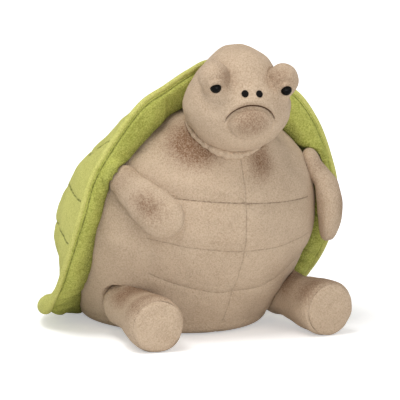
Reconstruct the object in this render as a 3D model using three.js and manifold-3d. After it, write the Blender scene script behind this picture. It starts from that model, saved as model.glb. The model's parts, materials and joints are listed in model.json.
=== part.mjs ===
// A seated plush turtle: a round stuffed body with a padded shell on its back, a stuffed head that sits
// in the top of the body, two flat arms, two legs, and the stuffing, seat weight and eye fixings that
// it holds inside. Millimetres, +Z up. The belly faces -Y and the turtle's left side is +X.
import * as THREE from "three";
import { mergeVertices } from "three/addons/utils/BufferGeometryUtils.js";
import Module from "manifold-3d";

const wasm = await Module();
wasm.setup();

const degree = Math.PI / 180;

// Cloth and clearances
const plushThickness = 2.5;
const seamGap = 0.4;
const socketGap = 0.7;
const swingGap = 1.3;
const rootRoom = 0.45;
const cutOverrun = 6;

// Body
const bodyHeight = 231;
const bodyHalfWidth = 127;
const bodyFrontDepth = 124.5;
const bodyBackDepth = 120;
const bodyLean = 36;
const baseSeamHeight = 13;
const sideSeamBehind = 2;

// Body rings from the seat up: height, half width, depth to the front, depth to the back, and how far
// behind the body's origin the ring's middle lies, as shares of the sizes above
const bodyRingShares = [
  [0, 0.57, 0.74, 0.66, 1.5],
  [0.022, 0.69, 0.85, 0.76, 1.5],
  [0.082, 0.77, 0.91, 0.84, 1.48],
  [0.19, 0.875, 0.99, 0.88, 1.3],
  [0.303, 0.95, 1.012, 0.89, 0.95],
  [0.411, 0.992, 1, 0.9, 0.556],
  [0.519, 1, 0.984, 0.86, 0.444],
  [0.628, 0.976, 0.936, 0.785, 0.333],
  [0.727, 0.898, 0.875, 0.675, 0.222],
  [0.805, 0.772, 0.763, 0.565, 0],
  [0.874, 0.614, 0.635, 0.455, -0.222],
  [0.935, 0.425, 0.466, 0.34, -0.472],
  [0.978, 0.22, 0.265, 0.2, -0.694],
];
const bodyTopLeanShare = -0.78;

// Head, measured from the point that it turns about
const headHalfWidth = 53;
const headFrontDepth = 50;
const headBackDepth = 52;
const headBelowPivot = 46;
const headAbovePivot = 60;
const headForward = 86;
const headPivotRise = 5;
const headTurnAtRest = -10 * degree;
const headTiltAtRest = 1.5 * degree;
// Head rings from the throat up: height below or above the pivot, half width, depth to the front, depth
// to the back
const headRingShares = [
  [-0.95, 0.3, 0.32, 0.312],
  [-0.835, 0.54, 0.57, 0.55],
  [-0.66, 0.742, 0.78, 0.752],
  [-0.39, 0.915, 0.95, 0.92],
  [-0.08, 1, 1, 1],
  [0.128, 0.981, 1, 0.981],
  [0.32, 0.89, 0.96, 0.904],
  [0.512, 0.765, 0.84, 0.788],
  [0.704, 0.62, 0.7, 0.654],
  [0.83, 0.505, 0.56, 0.53],
  [0.92, 0.385, 0.43, 0.4],
  [0.978, 0.22, 0.24, 0.23],
];

// Neck collar: a bowl of cloth round the head's pivot, tipped back into the body, between the head and
// the body
const collarGap = 1.7;
const collarThickness = 1.5;
const collarHalfAngle = 50 * degree;
const collarLean = 40 * degree;
const neckOpeningShare = 0.86;

// Brows, chin, eyes, nostrils and mouth, in the head's frame from its pivot
const browRadius = 15.8;
const browAside = 36;
const browForward = 32;
const browUp = { left: 29.5, right: 33.5 };
const chinHalfWidth = 24;
const chinHalfHeight = 18;
const chinHalfDepth = 19;
const chinForward = 39;
const chinDown = 10.5;
const eyeRadius = 5.6;
const eyeSinkShare = 0.86;
const eyeDown = 38 * degree;
const eyeOutward = 3 * degree;
const shankRadius = 1.6;
const shankLength = 9;
const washerRadius = 5.5;
const washerThickness = 1.4;
const nostrilRadius = 3.7;
const nostrilBulge = 1.5;
const nostrilAside = 7.2;
const nostrilUp = 19;
const mouthThreadRadius = 0.9;
const mouthTop = 7.5;
const mouthDrop = 17;
const mouthHalfWidth = 26.5;
const mouthBowShare = 0.95;

// The rounded root of a limb, as shares of a quarter turn, and the mouth in it
const limbRootShares = [0.2, 0.47, 0.75];
const limbMouthShare = 0.45;

// Arms, from the shoulder pivot to the tip. The flat side lies along the belly, and the joint's axis
// goes through it.
const armLength = 78;
const armHalfWidth = 22;
const armHalfThickness = 13;
const armRootRadius = 16.5;
const armRootHalfThickness = 10;
const shoulderHeight = 163;
const shoulderAngle = 29.5 * degree;
const shoulderStandOff = 5.5;
const armFaceTurn = 34 * degree;
const armFaceTilt = 18 * degree;
const armForward = { left: 2 * degree, right: 57 * degree };
// Arm rings from the pivot: place along the arm, half width, half thickness, and stand-off from the
// flat of the joint
const armRingShares = [
  [0, 0.74, 0.77, 0],
  [0.22, 0.8, 0.88, 0.45],
  [0.45, 0.92, 1, 0.48],
  [0.66, 1, 0.99, 0.2],
  [0.82, 0.95, 0.88, -0.13],
  [0.93, 0.72, 0.66, -0.37],
  [0.985, 0.38, 0.36, -0.48],
];
const armTipLiftShare = -0.5;

// Legs, from the hip pivot to the sole
const legLength = 104;
const legRadius = 28;
const legRootRadius = 23;
const hipHeight = 32;
const hipAngle = 32.7 * degree;
const hipInset = 4.5;
const legSplay = { left: 5.5 * degree, right: 9 * degree };
const legDip = 3.4 * degree;
const soleBulge = 4.5;
const soleSeamShare = 0.94;
const legRingShares = [
  [0, 0.84],
  [0.2, 0.82],
  [0.42, 0.84],
  [0.6, 0.92],
  [0.76, 1],
  [0.87, 1],
  [0.94, 0.95],
];
const soleRingShares = [
  [0, 0.96],
  [0.45, 0.84],
  [0.8, 0.58],
];

// Shell: its rim stands off the body, and its dome reaches behind the body
const rimReach = 21;
const rimTopRise = 41;
const rimFootClearance = 15;
const rimFrontDepth = 43;
const rimRearReach = 3.8;
const domeHeight = 108;
const lipRadius = 5;
const bandPuff = 5;
const bandWidth = 62;
// How far the band sweeps back as it turns in: not at all at the foot, and in full above these heights
// on the rim
const bandBackShare = 0.5;
const bandBackHeightShares = [0.1, 0.45];
// Points of the rim from the top round the turtle's left side to the foot: half width as a share of the
// widest, place between front and rear, and height as a share of the way from the foot to the top
const rimPointShares = [
  [0, 0.065, 1],
  [0.193, 0.03, 0.972],
  [0.361, 0.04, 0.918],
  [0.582, -0.012, 0.868],
  [0.763, 0.004, 0.745],
  [0.904, 0.053, 0.593],
  [0.971, 0.076, 0.453],
  [1, 0.178, 0.27],
  [0.975, 0.328, 0.118],
  [0.924, 0.525, 0.027],
  [0.725, 0.777, 0],
  [0.405, 0.98, 0],
  [0, 1.045, 0],
];
// Slices of the dome, level with the ground, by their height: the rear of each as a place between the
// rim's front and rear, and how full it is beside the rim, from 1 for a parabola to 2 for an ellipse
const domeSliceShares = [
  [0, 1.075, 0.81],
  [0.117, 1.085, 0.8],
  [0.2, 1.06, 1.07],
  [0.3, 1.02, 1.52],
  [0.4, 0.946, 1.78],
  [0.5, 0.845, 1.79],
  [0.595, 0.73, 1.72],
  [0.743, 0.52, 1.22],
  [0.856, 0.3, 1],
  [0.921, 0.165, 1],
  [0.975, 0.085, 1.05],
  [1, 0.065, 1.2],
];
const domeRowShares = [0.2, 0.42, 0.63, 0.8, 0.93];
const coneSpreadShare = 1.6;
const coneTipBehind = 80;
// The rim's side ends at this point, where its foot turns under, and its height is read off this many
// points.
const rimFootPoint = 9;
const rimProfilePoints = 90;
// Places on the rim between which its band turns from facing forward to facing down
const bandTurnShares = [0.3, 0.8];
// Rows of the band under the rim: how far it has turned in, and how far it is puffed out
const bandRowShares = [
  [0.25, 1],
  [0.6, 0.8],
  [1.1, 0.1],
];

// Seat weight: a pouch of pellets that lies on the base panel
const pouchRadius = 58;
const pouchHeight = 34;
const pouchProfileShares = [
  [0, 0],
  [0.86, 0],
  [0.97, 0.22],
  [1, 0.48],
  [0.93, 0.74],
  [0.7, 0.93],
  [0.35, 1],
  [0, 1],
];

// Facets
const bodySides = 20;
const headSides = 18;
const limbSides = 12;
const rimSides = 24;
const socketSides = 12;
const smallSides = 10;
const browSides = 12;
const eyeRows = 7;
const browRows = 9;
const nostrilRows = 6;
const collarRows = 4;
const mouthSteps = 10;
const threadFacets = 3;
const ballRowShare = 0.7;
const farReach = 4 * bodyHeight;

function ringPoints(sides, place) {
  return Array.from({ length: sides }, (_, i) => place((i * 2 * Math.PI) / sides));
}

// One ring of points across local Z: half width along X, and depths to the front (-Y) and back (+Y) of
// its middle.
function ovalRing(z, halfWidth, front, back, middle, sides) {
  return ringPoints(sides, (angle) => {
    const depth = Math.sin(angle) < 0 ? front : back;
    return new THREE.Vector3(halfWidth * Math.cos(angle), middle + depth * Math.sin(angle), z);
  });
}

// A closed skin over rings that run from the first end point to the last.
function skinOver(start, rings, end) {
  const sides = rings[0].length;
  const points = [start, ...rings.flat(), end];
  const last = points.length - 1;
  const index = [];
  for (let j = 0; j < sides; j += 1) {
    const next = (j + 1) % sides;
    index.push(0, 1 + next, 1 + j);
    for (let i = 0; i + 1 < rings.length; i += 1) {
      const low = 1 + i * sides;
      const high = low + sides;
      index.push(low + j, low + next, high + next, low + j, high + next, high + j);
    }
    const top = 1 + (rings.length - 1) * sides;
    index.push(last, top + j, top + next);
  }
  return new THREE.BufferGeometry().setFromPoints(points).setIndex(index);
}

function solidOf(geometry) {
  const bare = geometry.clone();
  bare.deleteAttribute("normal");
  bare.deleteAttribute("uv");
  const merged = mergeVertices(bare);
  return new wasm.Manifold(
    new wasm.Mesh({
      numProp: 3,
      vertProperties: merged.attributes.position.array,
      triVerts: new Uint32Array(merged.index.array),
    }),
  );
}

function geometryOf(solid) {
  const mesh = solid.getMesh();
  const geometry = new THREE.BufferGeometry();
  geometry.setAttribute("position", new THREE.BufferAttribute(mesh.vertProperties, 3));
  geometry.setIndex(new THREE.BufferAttribute(mesh.triVerts, 1));
  geometry.computeVertexNormals();
  return geometry;
}

function without(solid, ...cutters) {
  return cutters.reduce((rest, cutter) => rest.subtract(cutter), solid);
}

function placedSolid(geometry, matrix) {
  return solidOf(geometry.clone().applyMatrix4(matrix));
}

// A block that holds everything on one side of a plane through a point.
function halfSpace(point, normal) {
  const block = new THREE.BoxGeometry(farReach, farReach, farReach).translate(0, 0, farReach / 2);
  const turn = new THREE.Quaternion().setFromUnitVectors(
    new THREE.Vector3(0, 0, 1),
    normal.clone().normalize(),
  );
  return placedSolid(block, new THREE.Matrix4().compose(point, turn, new THREE.Vector3(1, 1, 1)));
}

// A faceted ball that holds a whole round one, stretched to half sizes along X, Y and Z.
function roomyBall(sides, halfX, halfY = halfX, halfZ = halfX) {
  const rows = Math.round(sides * ballRowShare);
  const reach = 1 / (Math.cos(Math.PI / sides) * Math.cos(Math.PI / (2 * rows)));
  return new THREE.SphereGeometry(reach, sides, rows).scale(halfX, halfY, halfZ);
}

// The row of a table of shares at a height, between its nearest rows.
function rowAt(rows, share) {
  let i = 0;
  while (i + 2 < rows.length && rows[i + 1][0] < share) i += 1;
  const part = (share - rows[i][0]) / (rows[i + 1][0] - rows[i][0]);
  return rows[i].map((low, k) => low + part * (rows[i + 1][k] - low));
}

const cloth = (colour, roughness) =>
  new THREE.MeshStandardMaterial({ color: colour, roughness, metalness: 0 });
const beigePlush = cloth(0xc2a888, 0.95);
const greenPlush = cloth(0xa3a85a, 0.95);
const greenUnderside = cloth(0x8a8c46, 0.95);
const stuffing = cloth(0xf2f0ea, 1);
const pouchCloth = cloth(0xe4ddcd, 0.9);
const blackThread = cloth(0x1c1714, 0.8);
const brownThread = cloth(0x3a2a20, 0.85);
const eyePlastic = cloth(0x0b0b0a, 0.15);
const washerPlastic = cloth(0xe9e9e4, 0.5);

function named(name, solid, material) {
  const mesh = new THREE.Mesh(geometryOf(solid), material);
  mesh.name = name;
  return mesh;
}

// Body form. A positive inset is inside the outer skin, and a negative one outside it.
function bodySolid(inset, sides = bodySides) {
  const level = (share) => inset + share * (bodyHeight - 2 * inset);
  const rings = bodyRingShares.map(([height, width, front, back, lean]) =>
    ovalRing(
      level(height),
      width * bodyHalfWidth - inset,
      front * bodyFrontDepth - inset,
      back * bodyBackDepth - inset,
      lean * bodyLean,
      sides,
    ),
  );
  const seat = new THREE.Vector3(0, bodyRingShares[0][4] * bodyLean, level(0));
  const crown = new THREE.Vector3(0, bodyTopLeanShare * bodyLean, level(1));
  return solidOf(skinOver(seat, rings, crown));
}

// A point on the body's skin, an angle forward of straight out to one side, moved out by a distance.
function bodySkinPoint(height, forwardAngle, out) {
  const [, width, front, , lean] = rowAt(bodyRingShares, height / bodyHeight);
  return new THREE.Vector3(
    (width * bodyHalfWidth + out) * Math.cos(forwardAngle),
    lean * bodyLean - (front * bodyFrontDepth + out) * Math.sin(forwardAngle),
    height,
  );
}

const bodyRears = bodyRingShares.map(([, , , back, lean]) => back * bodyBackDepth + lean * bodyLean);
const bodyRear = Math.max(...bodyRears);
const headPivot = new THREE.Vector3(0, -headForward, bodyHeight + headPivotRise);
// The collar's bowl is as wide as the head is deep, and as deep as the head reaches down
const collarHalfWidth = headBackDepth + collarGap;
const collarDepth = headBelowPivot + collarGap;
const bowlGap = collarThickness + seamGap;
const headBowl = placedSolid(
  roomyBall(headSides, collarHalfWidth + bowlGap, collarHalfWidth + bowlGap, collarDepth + bowlGap),
  new THREE.Matrix4().makeTranslation(headPivot),
);

// A turned group at a pivot. Local Z runs along the limb, and local Y is square to it, nearest to the
// axis given.
function pivotGroup(name, position, along, axis) {
  const group = new THREE.Group();
  const x = axis.clone().cross(along).normalize();
  const y = along.clone().cross(x).normalize();
  group.name = name;
  group.position.copy(position);
  group.quaternion.setFromRotationMatrix(new THREE.Matrix4().makeBasis(x, y, along));
  group.updateMatrixWorld(true);
  return group;
}

function toWorld(solid, group) {
  return solid.transform(group.matrixWorld.elements);
}

function toLocal(solid, group) {
  return solid.transform(group.matrixWorld.clone().invert().elements);
}

// A limb's skin: a rounded root behind the pivot, then rings along a centre line that may bend towards
// local Y.
function limbSolid({ rootRadius, rootThickness, rows, tip, tipLift }, inset) {
  const line = [{ along: -rootRadius, width: 0, thickness: 0, lift: 0 }];
  for (const share of limbRootShares) {
    line.push({
      along: -rootRadius * Math.cos((share * Math.PI) / 2),
      width: rootRadius * Math.sin((share * Math.PI) / 2),
      thickness: rootThickness * Math.sin((share * Math.PI) / 2),
      lift: 0,
    });
  }
  line.push(...rows, { along: tip, width: 0, thickness: 0, lift: tipLift });
  const kept = line
    .map((row, i) => ({ ...row, before: line[i - 1], after: line[i + 1] }))
    .filter(({ along, thickness }) =>
      thickness > Math.max(inset, 0) + seamGap && along > inset - rootRadius && along < tip - inset);
  const rings = kept.map(({ along, width, thickness, lift, before, after }) => {
    const lean = Math.atan2(after.lift - before.lift, after.along - before.along);
    return ringPoints(limbSides, (angle) => {
      const rise = (thickness - inset) * Math.sin(angle);
      return new THREE.Vector3(
        (width - inset) * Math.cos(angle),
        lift + rise * Math.cos(lean),
        along - rise * Math.sin(lean),
      );
    });
  });
  const first = kept[0];
  const last = kept[kept.length - 1];
  const start = Math.max(inset - rootRadius, first.along - (first.thickness - inset));
  const end = Math.min(tip - inset, last.along + (last.thickness - inset));
  return solidOf(skinOver(new THREE.Vector3(0, 0, start), rings, new THREE.Vector3(0, last.lift, end)));
}

// A limb clear of the body round its socket, with room for its swing between the two skins.
function fittedLimb(limb, group, inset) {
  const sides = inset > 0 ? limb.innerSides : bodySides;
  const flatness = sides < bodySides ? bodyHalfWidth * (1 - Math.cos(Math.PI / sides)) : 0;
  const wide = limb.rootRadius - inset + rootRoom;
  const room = new THREE.SphereGeometry(1, limbSides, limbSides).rotateX(Math.PI / 2);
  room.scale(wide, limb.rootThickness - inset + rootRoom, wide);
  const body = toLocal(bodySolid(-swingGap - inset - flatness, sides), group).subtract(solidOf(room));
  return limbSolid(limb, inset).subtract(body);
}

// The open mouth of a limb's cover, through which it is stuffed.
function limbMouth({ rootRadius }) {
  const radius = rootRadius * limbMouthShare;
  const hole = new THREE.CylinderGeometry(radius, radius, rootRadius, smallSides);
  hole.rotateX(Math.PI / 2).translate(0, 0, -rootRadius);
  return solidOf(hole);
}

// The socket that the body and shell leave for a limb's root.
function socketFor({ rootRadius, rootThickness }, group) {
  const wide = rootRadius + socketGap;
  return placedSolid(roomyBall(socketSides, wide, rootThickness + socketGap, wide), group.matrixWorld);
}

const armForm = {
  rootRadius: armRootRadius,
  rootThickness: armRootHalfThickness,
  rows: armRingShares.map(([along, width, thickness, lift]) => ({
    along: along * armLength,
    width: width * armHalfWidth,
    thickness: thickness * armHalfThickness,
    lift: lift * armHalfThickness,
  })),
  tip: armLength,
  tipLift: armTipLiftShare * armHalfThickness,
  innerSides: bodySides,
};

const legForm = {
  rootRadius: legRootRadius,
  rootThickness: legRootRadius,
  rows: legRingShares.map(([along, radius]) => ({
    along: along * legLength,
    width: radius * legRadius,
    thickness: radius * legRadius,
    lift: 0,
  })),
  tip: legLength + soleBulge,
  tipLift: 0,
  innerSides: bodySides / 2,
};

// Arm: its joint turns it in the plane of its own flat side, from hanging down to reaching forward.
function armFrame(side) {
  const end = side > 0 ? "left" : "right";
  const skin = bodySkinPoint(shoulderHeight, shoulderAngle, shoulderStandOff);
  const pivot = new THREE.Vector3(side * skin.x, skin.y, skin.z);
  const axis = new THREE.Vector3(
    side * Math.cos(armFaceTilt) * Math.cos(armFaceTurn),
    -Math.cos(armFaceTilt) * Math.sin(armFaceTurn),
    Math.sin(armFaceTilt),
  );
  const forward = new THREE.Vector3(-side * Math.sin(armFaceTurn), -Math.cos(armFaceTurn), 0);
  const down = forward.clone().cross(axis).multiplyScalar(-side);
  const turn = armForward[end];
  const along = down.multiplyScalar(Math.cos(turn)).addScaledVector(forward, Math.sin(turn));
  return pivotGroup(`arm_${end}`, pivot, along.normalize(), axis);
}

function buildArm(group) {
  const inside = fittedLimb(armForm, group, plushThickness);
  const cover = without(fittedLimb(armForm, group, 0), inside, limbMouth(armForm));
  group.add(named(`${group.name}_cover`, cover, beigePlush));
  group.add(named(`${group.name}_stuffing`, fittedLimb(armForm, group, plushThickness + seamGap), stuffing));
  return group;
}

// Leg: a stuffed tube with a round sole, whose rounded root turns about the upright axis.
function legFrame(side) {
  const end = side > 0 ? "left" : "right";
  const splay = legSplay[end];
  const skin = bodySkinPoint(hipHeight, hipAngle, -hipInset);
  const pivot = new THREE.Vector3(side * skin.x, skin.y, skin.z);
  const along = new THREE.Vector3(side * Math.sin(splay), -Math.cos(splay), -Math.tan(legDip));
  return pivotGroup(`leg_${end}`, pivot, along.normalize(), new THREE.Vector3(0, 0, 1));
}

function buildLeg(group) {
  const seamAt = legLength * soleSeamShare;
  const floor = toLocal(halfSpace(new THREE.Vector3(), new THREE.Vector3(0, 0, -1)), group);
  const pastSeam = halfSpace(new THREE.Vector3(0, 0, seamAt), new THREE.Vector3(0, 0, 1));
  const overlong = { ...legForm, tip: legLength + cutOverrun };
  const inside = fittedLimb(overlong, group, plushThickness);
  const cover = without(fittedLimb(overlong, group, 0), inside, limbMouth(legForm), pastSeam, floor);
  const core = without(fittedLimb(overlong, group, plushThickness + seamGap), pastSeam);
  const soleStart = seamAt + seamGap;
  const soleRings = soleRingShares.map(([along, radius]) => {
    const reach = radius * legRadius;
    return ovalRing(soleStart + along * soleBulge, reach, reach, reach, 0, limbSides);
  });
  const soleSkin = skinOver(
    new THREE.Vector3(0, 0, soleStart),
    soleRings,
    new THREE.Vector3(0, 0, soleStart + soleBulge),
  );
  group.add(named(`${group.name}_cover`, cover, beigePlush));
  group.add(named(`${group.name}_sole`, without(solidOf(soleSkin), floor), beigePlush));
  group.add(named(`${group.name}_stuffing`, core, stuffing));
  return group;
}

// Shell rim: a closed curve through points on both sides of the turtle.
const rimLength = rimFrontDepth + bodyRear + rimRearReach;
const rimHeight = bodyHeight + rimTopRise - rimFootClearance;
const placeOnRim = (y) => (y + rimFrontDepth) / rimLength;
const riseOnRim = (z) => (z - rimFootClearance) / rimHeight;

function rimPoint([width, place, rise], side) {
  return new THREE.Vector3(
    side * width * (bodyHalfWidth + rimReach),
    place * rimLength - rimFrontDepth,
    rimFootClearance + rise * rimHeight,
  );
}

const rimCurve = (() => {
  const left = rimPointShares.map((shares) => rimPoint(shares, 1));
  const right = rimPointShares.slice(1, -1).map((shares) => rimPoint(shares, -1));
  return new THREE.CatmullRomCurve3([...left, ...right.reverse()], true);
})();
const rim = rimCurve.getSpacedPoints(rimSides).slice(0, rimSides);

// Height, half width and front of the rim's side, from its foot up
const rimProfile = Array.from({ length: rimProfilePoints }, (_, i) => {
  const part = 1 - i / (rimProfilePoints - 1);
  const point = rimCurve.getPoint((part * rimFootPoint) / rimCurve.points.length);
  return [point.z, point.x, point.y];
});

const shellCentre = new THREE.Vector3(0, 0, domeHeight);

// A point of the dome on the way from its middle to a rim point
function domePoint(edge, share) {
  const x = edge.x * share;
  const z = domeHeight + (edge.z - domeHeight) * share;
  const [, width, front] = rowAt(rimProfile, z);
  const [, rear, fullness] = rowAt(domeSliceShares, riseOnRim(z));
  const beside = Math.min(Math.abs(x) / width, 1);
  const depth = rear * rimLength - rimFrontDepth - front;
  return new THREE.Vector3(x, front + depth * (1 - beside ** 2) ** (1 / fullness), z);
}

// A point of the band, which turns in from the rim: towards the shell's middle at the sides, and under
// it at the foot
function bandPoint(edge, turnedIn, puffed) {
  const [turnStart, turnEnd] = bandTurnShares;
  const under = THREE.MathUtils.smoothstep(placeOnRim(edge.y), turnStart, turnEnd);
  const back = bandBackShare * THREE.MathUtils.smoothstep(riseOnRim(edge.z), ...bandBackHeightShares);
  const inward = shellCentre.clone().sub(edge).setY(0).normalize().setY(back);
  const forward = new THREE.Vector3(0, bodyLean, edge.z).sub(edge).normalize();
  const puff = new THREE.Vector3(0, under - 1, -under).normalize();
  return edge.clone()
    .addScaledVector(inward.lerp(forward, under).normalize(), turnedIn * bandWidth)
    .addScaledVector(puff, lipRadius + puffed * bandPuff);
}

// The shell's form. A positive inset moves its skin in along its normals.
function shellSolid(inset) {
  const domeRows = domeRowShares.map((share) => rim.map((edge) => domePoint(edge, share)));
  const bandRows = bandRowShares.map(([turnedIn, puffed]) =>
    rim.map((edge) => bandPoint(edge, turnedIn, puffed)),
  );
  const rows = [...domeRows, rim, ...bandRows].map((ring) => [...ring].reverse());
  const pole = domePoint(rim[0], 0);
  const skin = skinOver(pole, rows, shellCentre);
  skin.computeVertexNormals();
  const { position, normal } = skin.attributes;
  for (let i = 0; i < position.count; i += 1) {
    const moved = new THREE.Vector3().fromBufferAttribute(position, i);
    moved.addScaledVector(new THREE.Vector3().fromBufferAttribute(normal, i), -inset);
    position.setXYZ(i, moved.x, moved.y, moved.z);
  }
  return solidOf(skin);
}

// Everything behind a cone that spreads through the rim from a tip on the shell's axis, moved back by a
// gap.
function behindRim(gap) {
  const tip = shellCentre.clone().setY(coneTipBehind);
  const apex = tip.clone().setY(coneTipBehind + gap);
  const wide = rim.map((point) => point.clone().sub(tip).multiplyScalar(coneSpreadShare).add(apex));
  const back = wide.map((point) => point.clone().setY(farReach));
  const rows = [back, wide].map((ring) => ring.reverse());
  return solidOf(skinOver(new THREE.Vector3(0, farReach, domeHeight), rows, apex));
}

function buildShell(cutters) {
  const group = new THREE.Group();
  const outer = shellSolid(0);
  const skin = without(outer.subtract(shellSolid(plushThickness)), bodySolid(-seamGap), ...cutters);
  const padding = without(shellSolid(plushThickness + seamGap), skin, bodySolid(-seamGap), ...cutters);
  group.add(named("shell_cover", skin.intersect(behindRim(seamGap)), greenPlush));
  group.add(named("shell_underside", skin.subtract(behindRim(0)), greenUnderside));
  group.add(named("shell_padding", padding, stuffing));
  return group;
}

// The pellet pouch, grown by a margin for the pocket that it lies in.
function pouchSolid(margin) {
  const profile = pouchProfileShares.map(([radius, height]) => new THREE.Vector2(
    radius * pouchRadius + (radius > 0 ? margin : 0),
    height * pouchHeight + (height > 0 ? margin : -margin * cutOverrun),
  ));
  const pouch = new THREE.LatheGeometry(profile, socketSides).rotateX(Math.PI / 2);
  return solidOf(pouch.translate(0, bodyLean, plushThickness + seamGap));
}

// The body's cover is cut at the side seams, the belly's middle seam and the base seam.
function buildBody(cutters) {
  const group = new THREE.Group();
  const skin = without(bodySolid(0).subtract(bodySolid(plushThickness)), ...cutters);
  const up = new THREE.Vector3(0, 0, 1);
  const out = new THREE.Vector3(1, 0, 0);
  const toRear = new THREE.Vector3(0, 1, 0);
  const halfGap = seamGap / 2;
  const front = halfSpace(toRear.clone().multiplyScalar(sideSeamBehind - halfGap), toRear.clone().negate());
  const rear = halfSpace(toRear.clone().multiplyScalar(sideSeamBehind + halfGap), toRear);
  const aboveBase = skin.intersect(halfSpace(up.clone().multiplyScalar(baseSeamHeight + seamGap), up));
  const base = skin.intersect(halfSpace(up.clone().multiplyScalar(baseSeamHeight), up.clone().negate()));
  for (const [name, side] of [["belly_panel_left", 1], ["belly_panel_right", -1]]) {
    const half = halfSpace(out.clone().multiplyScalar(side * halfGap), out.clone().multiplyScalar(side));
    group.add(named(name, aboveBase.intersect(front).intersect(half), beigePlush));
  }
  group.add(named("back_panel", aboveBase.intersect(rear), beigePlush));
  group.add(named("base_panel", base, beigePlush));
  const inside = bodySolid(plushThickness + seamGap, bodySides / 2);
  const filling = without(inside, pouchSolid(seamGap), ...cutters);
  group.add(named("body_stuffing", filling, stuffing));
  group.add(named("pellet_pouch", pouchSolid(0), pouchCloth));
  return group;
}

function headSolid(inset) {
  const level = (share) => share * ((share < 0 ? headBelowPivot : headAbovePivot) - inset);
  const rings = headRingShares.map(([height, width, front, back]) =>
    ovalRing(
      level(height),
      width * headHalfWidth - inset,
      front * headFrontDepth - inset,
      back * headBackDepth - inset,
      0,
      headSides,
    ),
  );
  return solidOf(skinOver(new THREE.Vector3(0, 0, level(-1)), rings, new THREE.Vector3(0, 0, level(1))));
}

// A point on the face, at a place aside and up, proud of it by a distance.
function facePoint(aside, up, proud) {
  const [, width, front] = rowAt(headRingShares, up / (up < 0 ? headBelowPivot : headAbovePivot));
  const depth = front * headFrontDepth * Math.sqrt(1 - (aside / (width * headHalfWidth)) ** 2);
  return new THREE.Vector3(aside, -depth - proud, up);
}

function browPlace(side) {
  return new THREE.Vector3(side * browAside, -browForward, side > 0 ? browUp.left : browUp.right);
}

// The eye's frame: local Z points out of the eye.
function eyeMatrix(side) {
  const out = new THREE.Vector3(
    side * Math.sin(eyeOutward) * Math.cos(eyeDown),
    -Math.cos(eyeOutward) * Math.cos(eyeDown),
    -Math.sin(eyeDown),
  );
  const turn = new THREE.Quaternion().setFromUnitVectors(new THREE.Vector3(0, 0, 1), out);
  const seat = browPlace(side).addScaledVector(out, browRadius * eyeSinkShare);
  return new THREE.Matrix4().compose(seat, turn, new THREE.Vector3(1, 1, 1));
}

function pin(radius, height, middle) {
  const rod = new THREE.CylinderGeometry(radius, radius, height, smallSides);
  return rod.rotateX(Math.PI / 2).translate(0, 0, middle);
}

function eyeSolid(matrix, margin) {
  const round = new THREE.SphereGeometry(eyeRadius, socketSides, eyeRows);
  const dome = margin > 0 ? roomyBall(smallSides, eyeRadius + margin) : round;
  const shank = pin(shankRadius + margin, shankLength, -shankLength / 2 - eyeRadius / 2);
  return placedSolid(dome, matrix).add(placedSolid(shank, matrix));
}

// The washer grips the shank near its end.
function washerSolid(matrix, margin) {
  const middle = -shankLength - eyeRadius / 2 + 2 * washerThickness;
  return placedSolid(pin(washerRadius + margin, washerThickness + 2 * margin, middle), matrix);
}

function buildEye(side, matrix) {
  const end = side > 0 ? "left" : "right";
  const bore = placedSolid(pin(shankRadius + seamGap / 2, farReach, 0), matrix);
  return [
    named(`eye_${end}`, eyeSolid(matrix, 0), eyePlastic),
    named(`eye_washer_${end}`, washerSolid(matrix, 0).subtract(bore), washerPlastic),
  ];
}

function buildBrow(side, head, eyeRoom) {
  const bump = new THREE.SphereGeometry(browRadius, browSides, browRows);
  const brow = placedSolid(bump, new THREE.Matrix4().makeTranslation(browPlace(side)));
  return named(side > 0 ? "brow_left" : "brow_right", without(brow, head, eyeRoom), beigePlush);
}

function buildNostril(side, head) {
  const dot = new THREE.SphereGeometry(1, socketSides, nostrilRows);
  dot.scale(nostrilRadius, nostrilBulge, nostrilRadius);
  const place = new THREE.Matrix4().makeTranslation(facePoint(side * nostrilAside, nostrilUp, 0));
  const name = side > 0 ? "nostril_left" : "nostril_right";
  return named(name, placedSolid(dot, place).subtract(head), blackThread);
}

// The stitched mouth: an arch of thread on the face, over the chin.
function mouthSolid(head) {
  const fullDrop = 1 - Math.sqrt(1 - mouthBowShare);
  const points = Array.from({ length: mouthSteps + 1 }, (_, i) => {
    const across = (2 * i) / mouthSteps - 1;
    const drop = (1 - Math.sqrt(1 - mouthBowShare * across * across)) / fullDrop;
    return facePoint(across * mouthHalfWidth, mouthTop - mouthDrop * drop, mouthThreadRadius / 2);
  });
  const section = new THREE.Shape().absarc(0, 0, mouthThreadRadius, 0, 2 * Math.PI);
  const tube = new THREE.ExtrudeGeometry(section, {
    steps: 2 * mouthSteps,
    curveSegments: threadFacets,
    bevelEnabled: false,
    extrudePath: new THREE.CatmullRomCurve3(points),
  });
  return solidOf(tube).subtract(head);
}

function chinSolid(head, mouth) {
  const bump = new THREE.SphereGeometry(1, headSides, socketSides);
  bump.scale(chinHalfWidth, chinHalfDepth, chinHalfHeight);
  const place = new THREE.Matrix4().makeTranslation(0, -chinForward, -chinDown);
  return without(placedSolid(bump, place), head, mouth);
}

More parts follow.
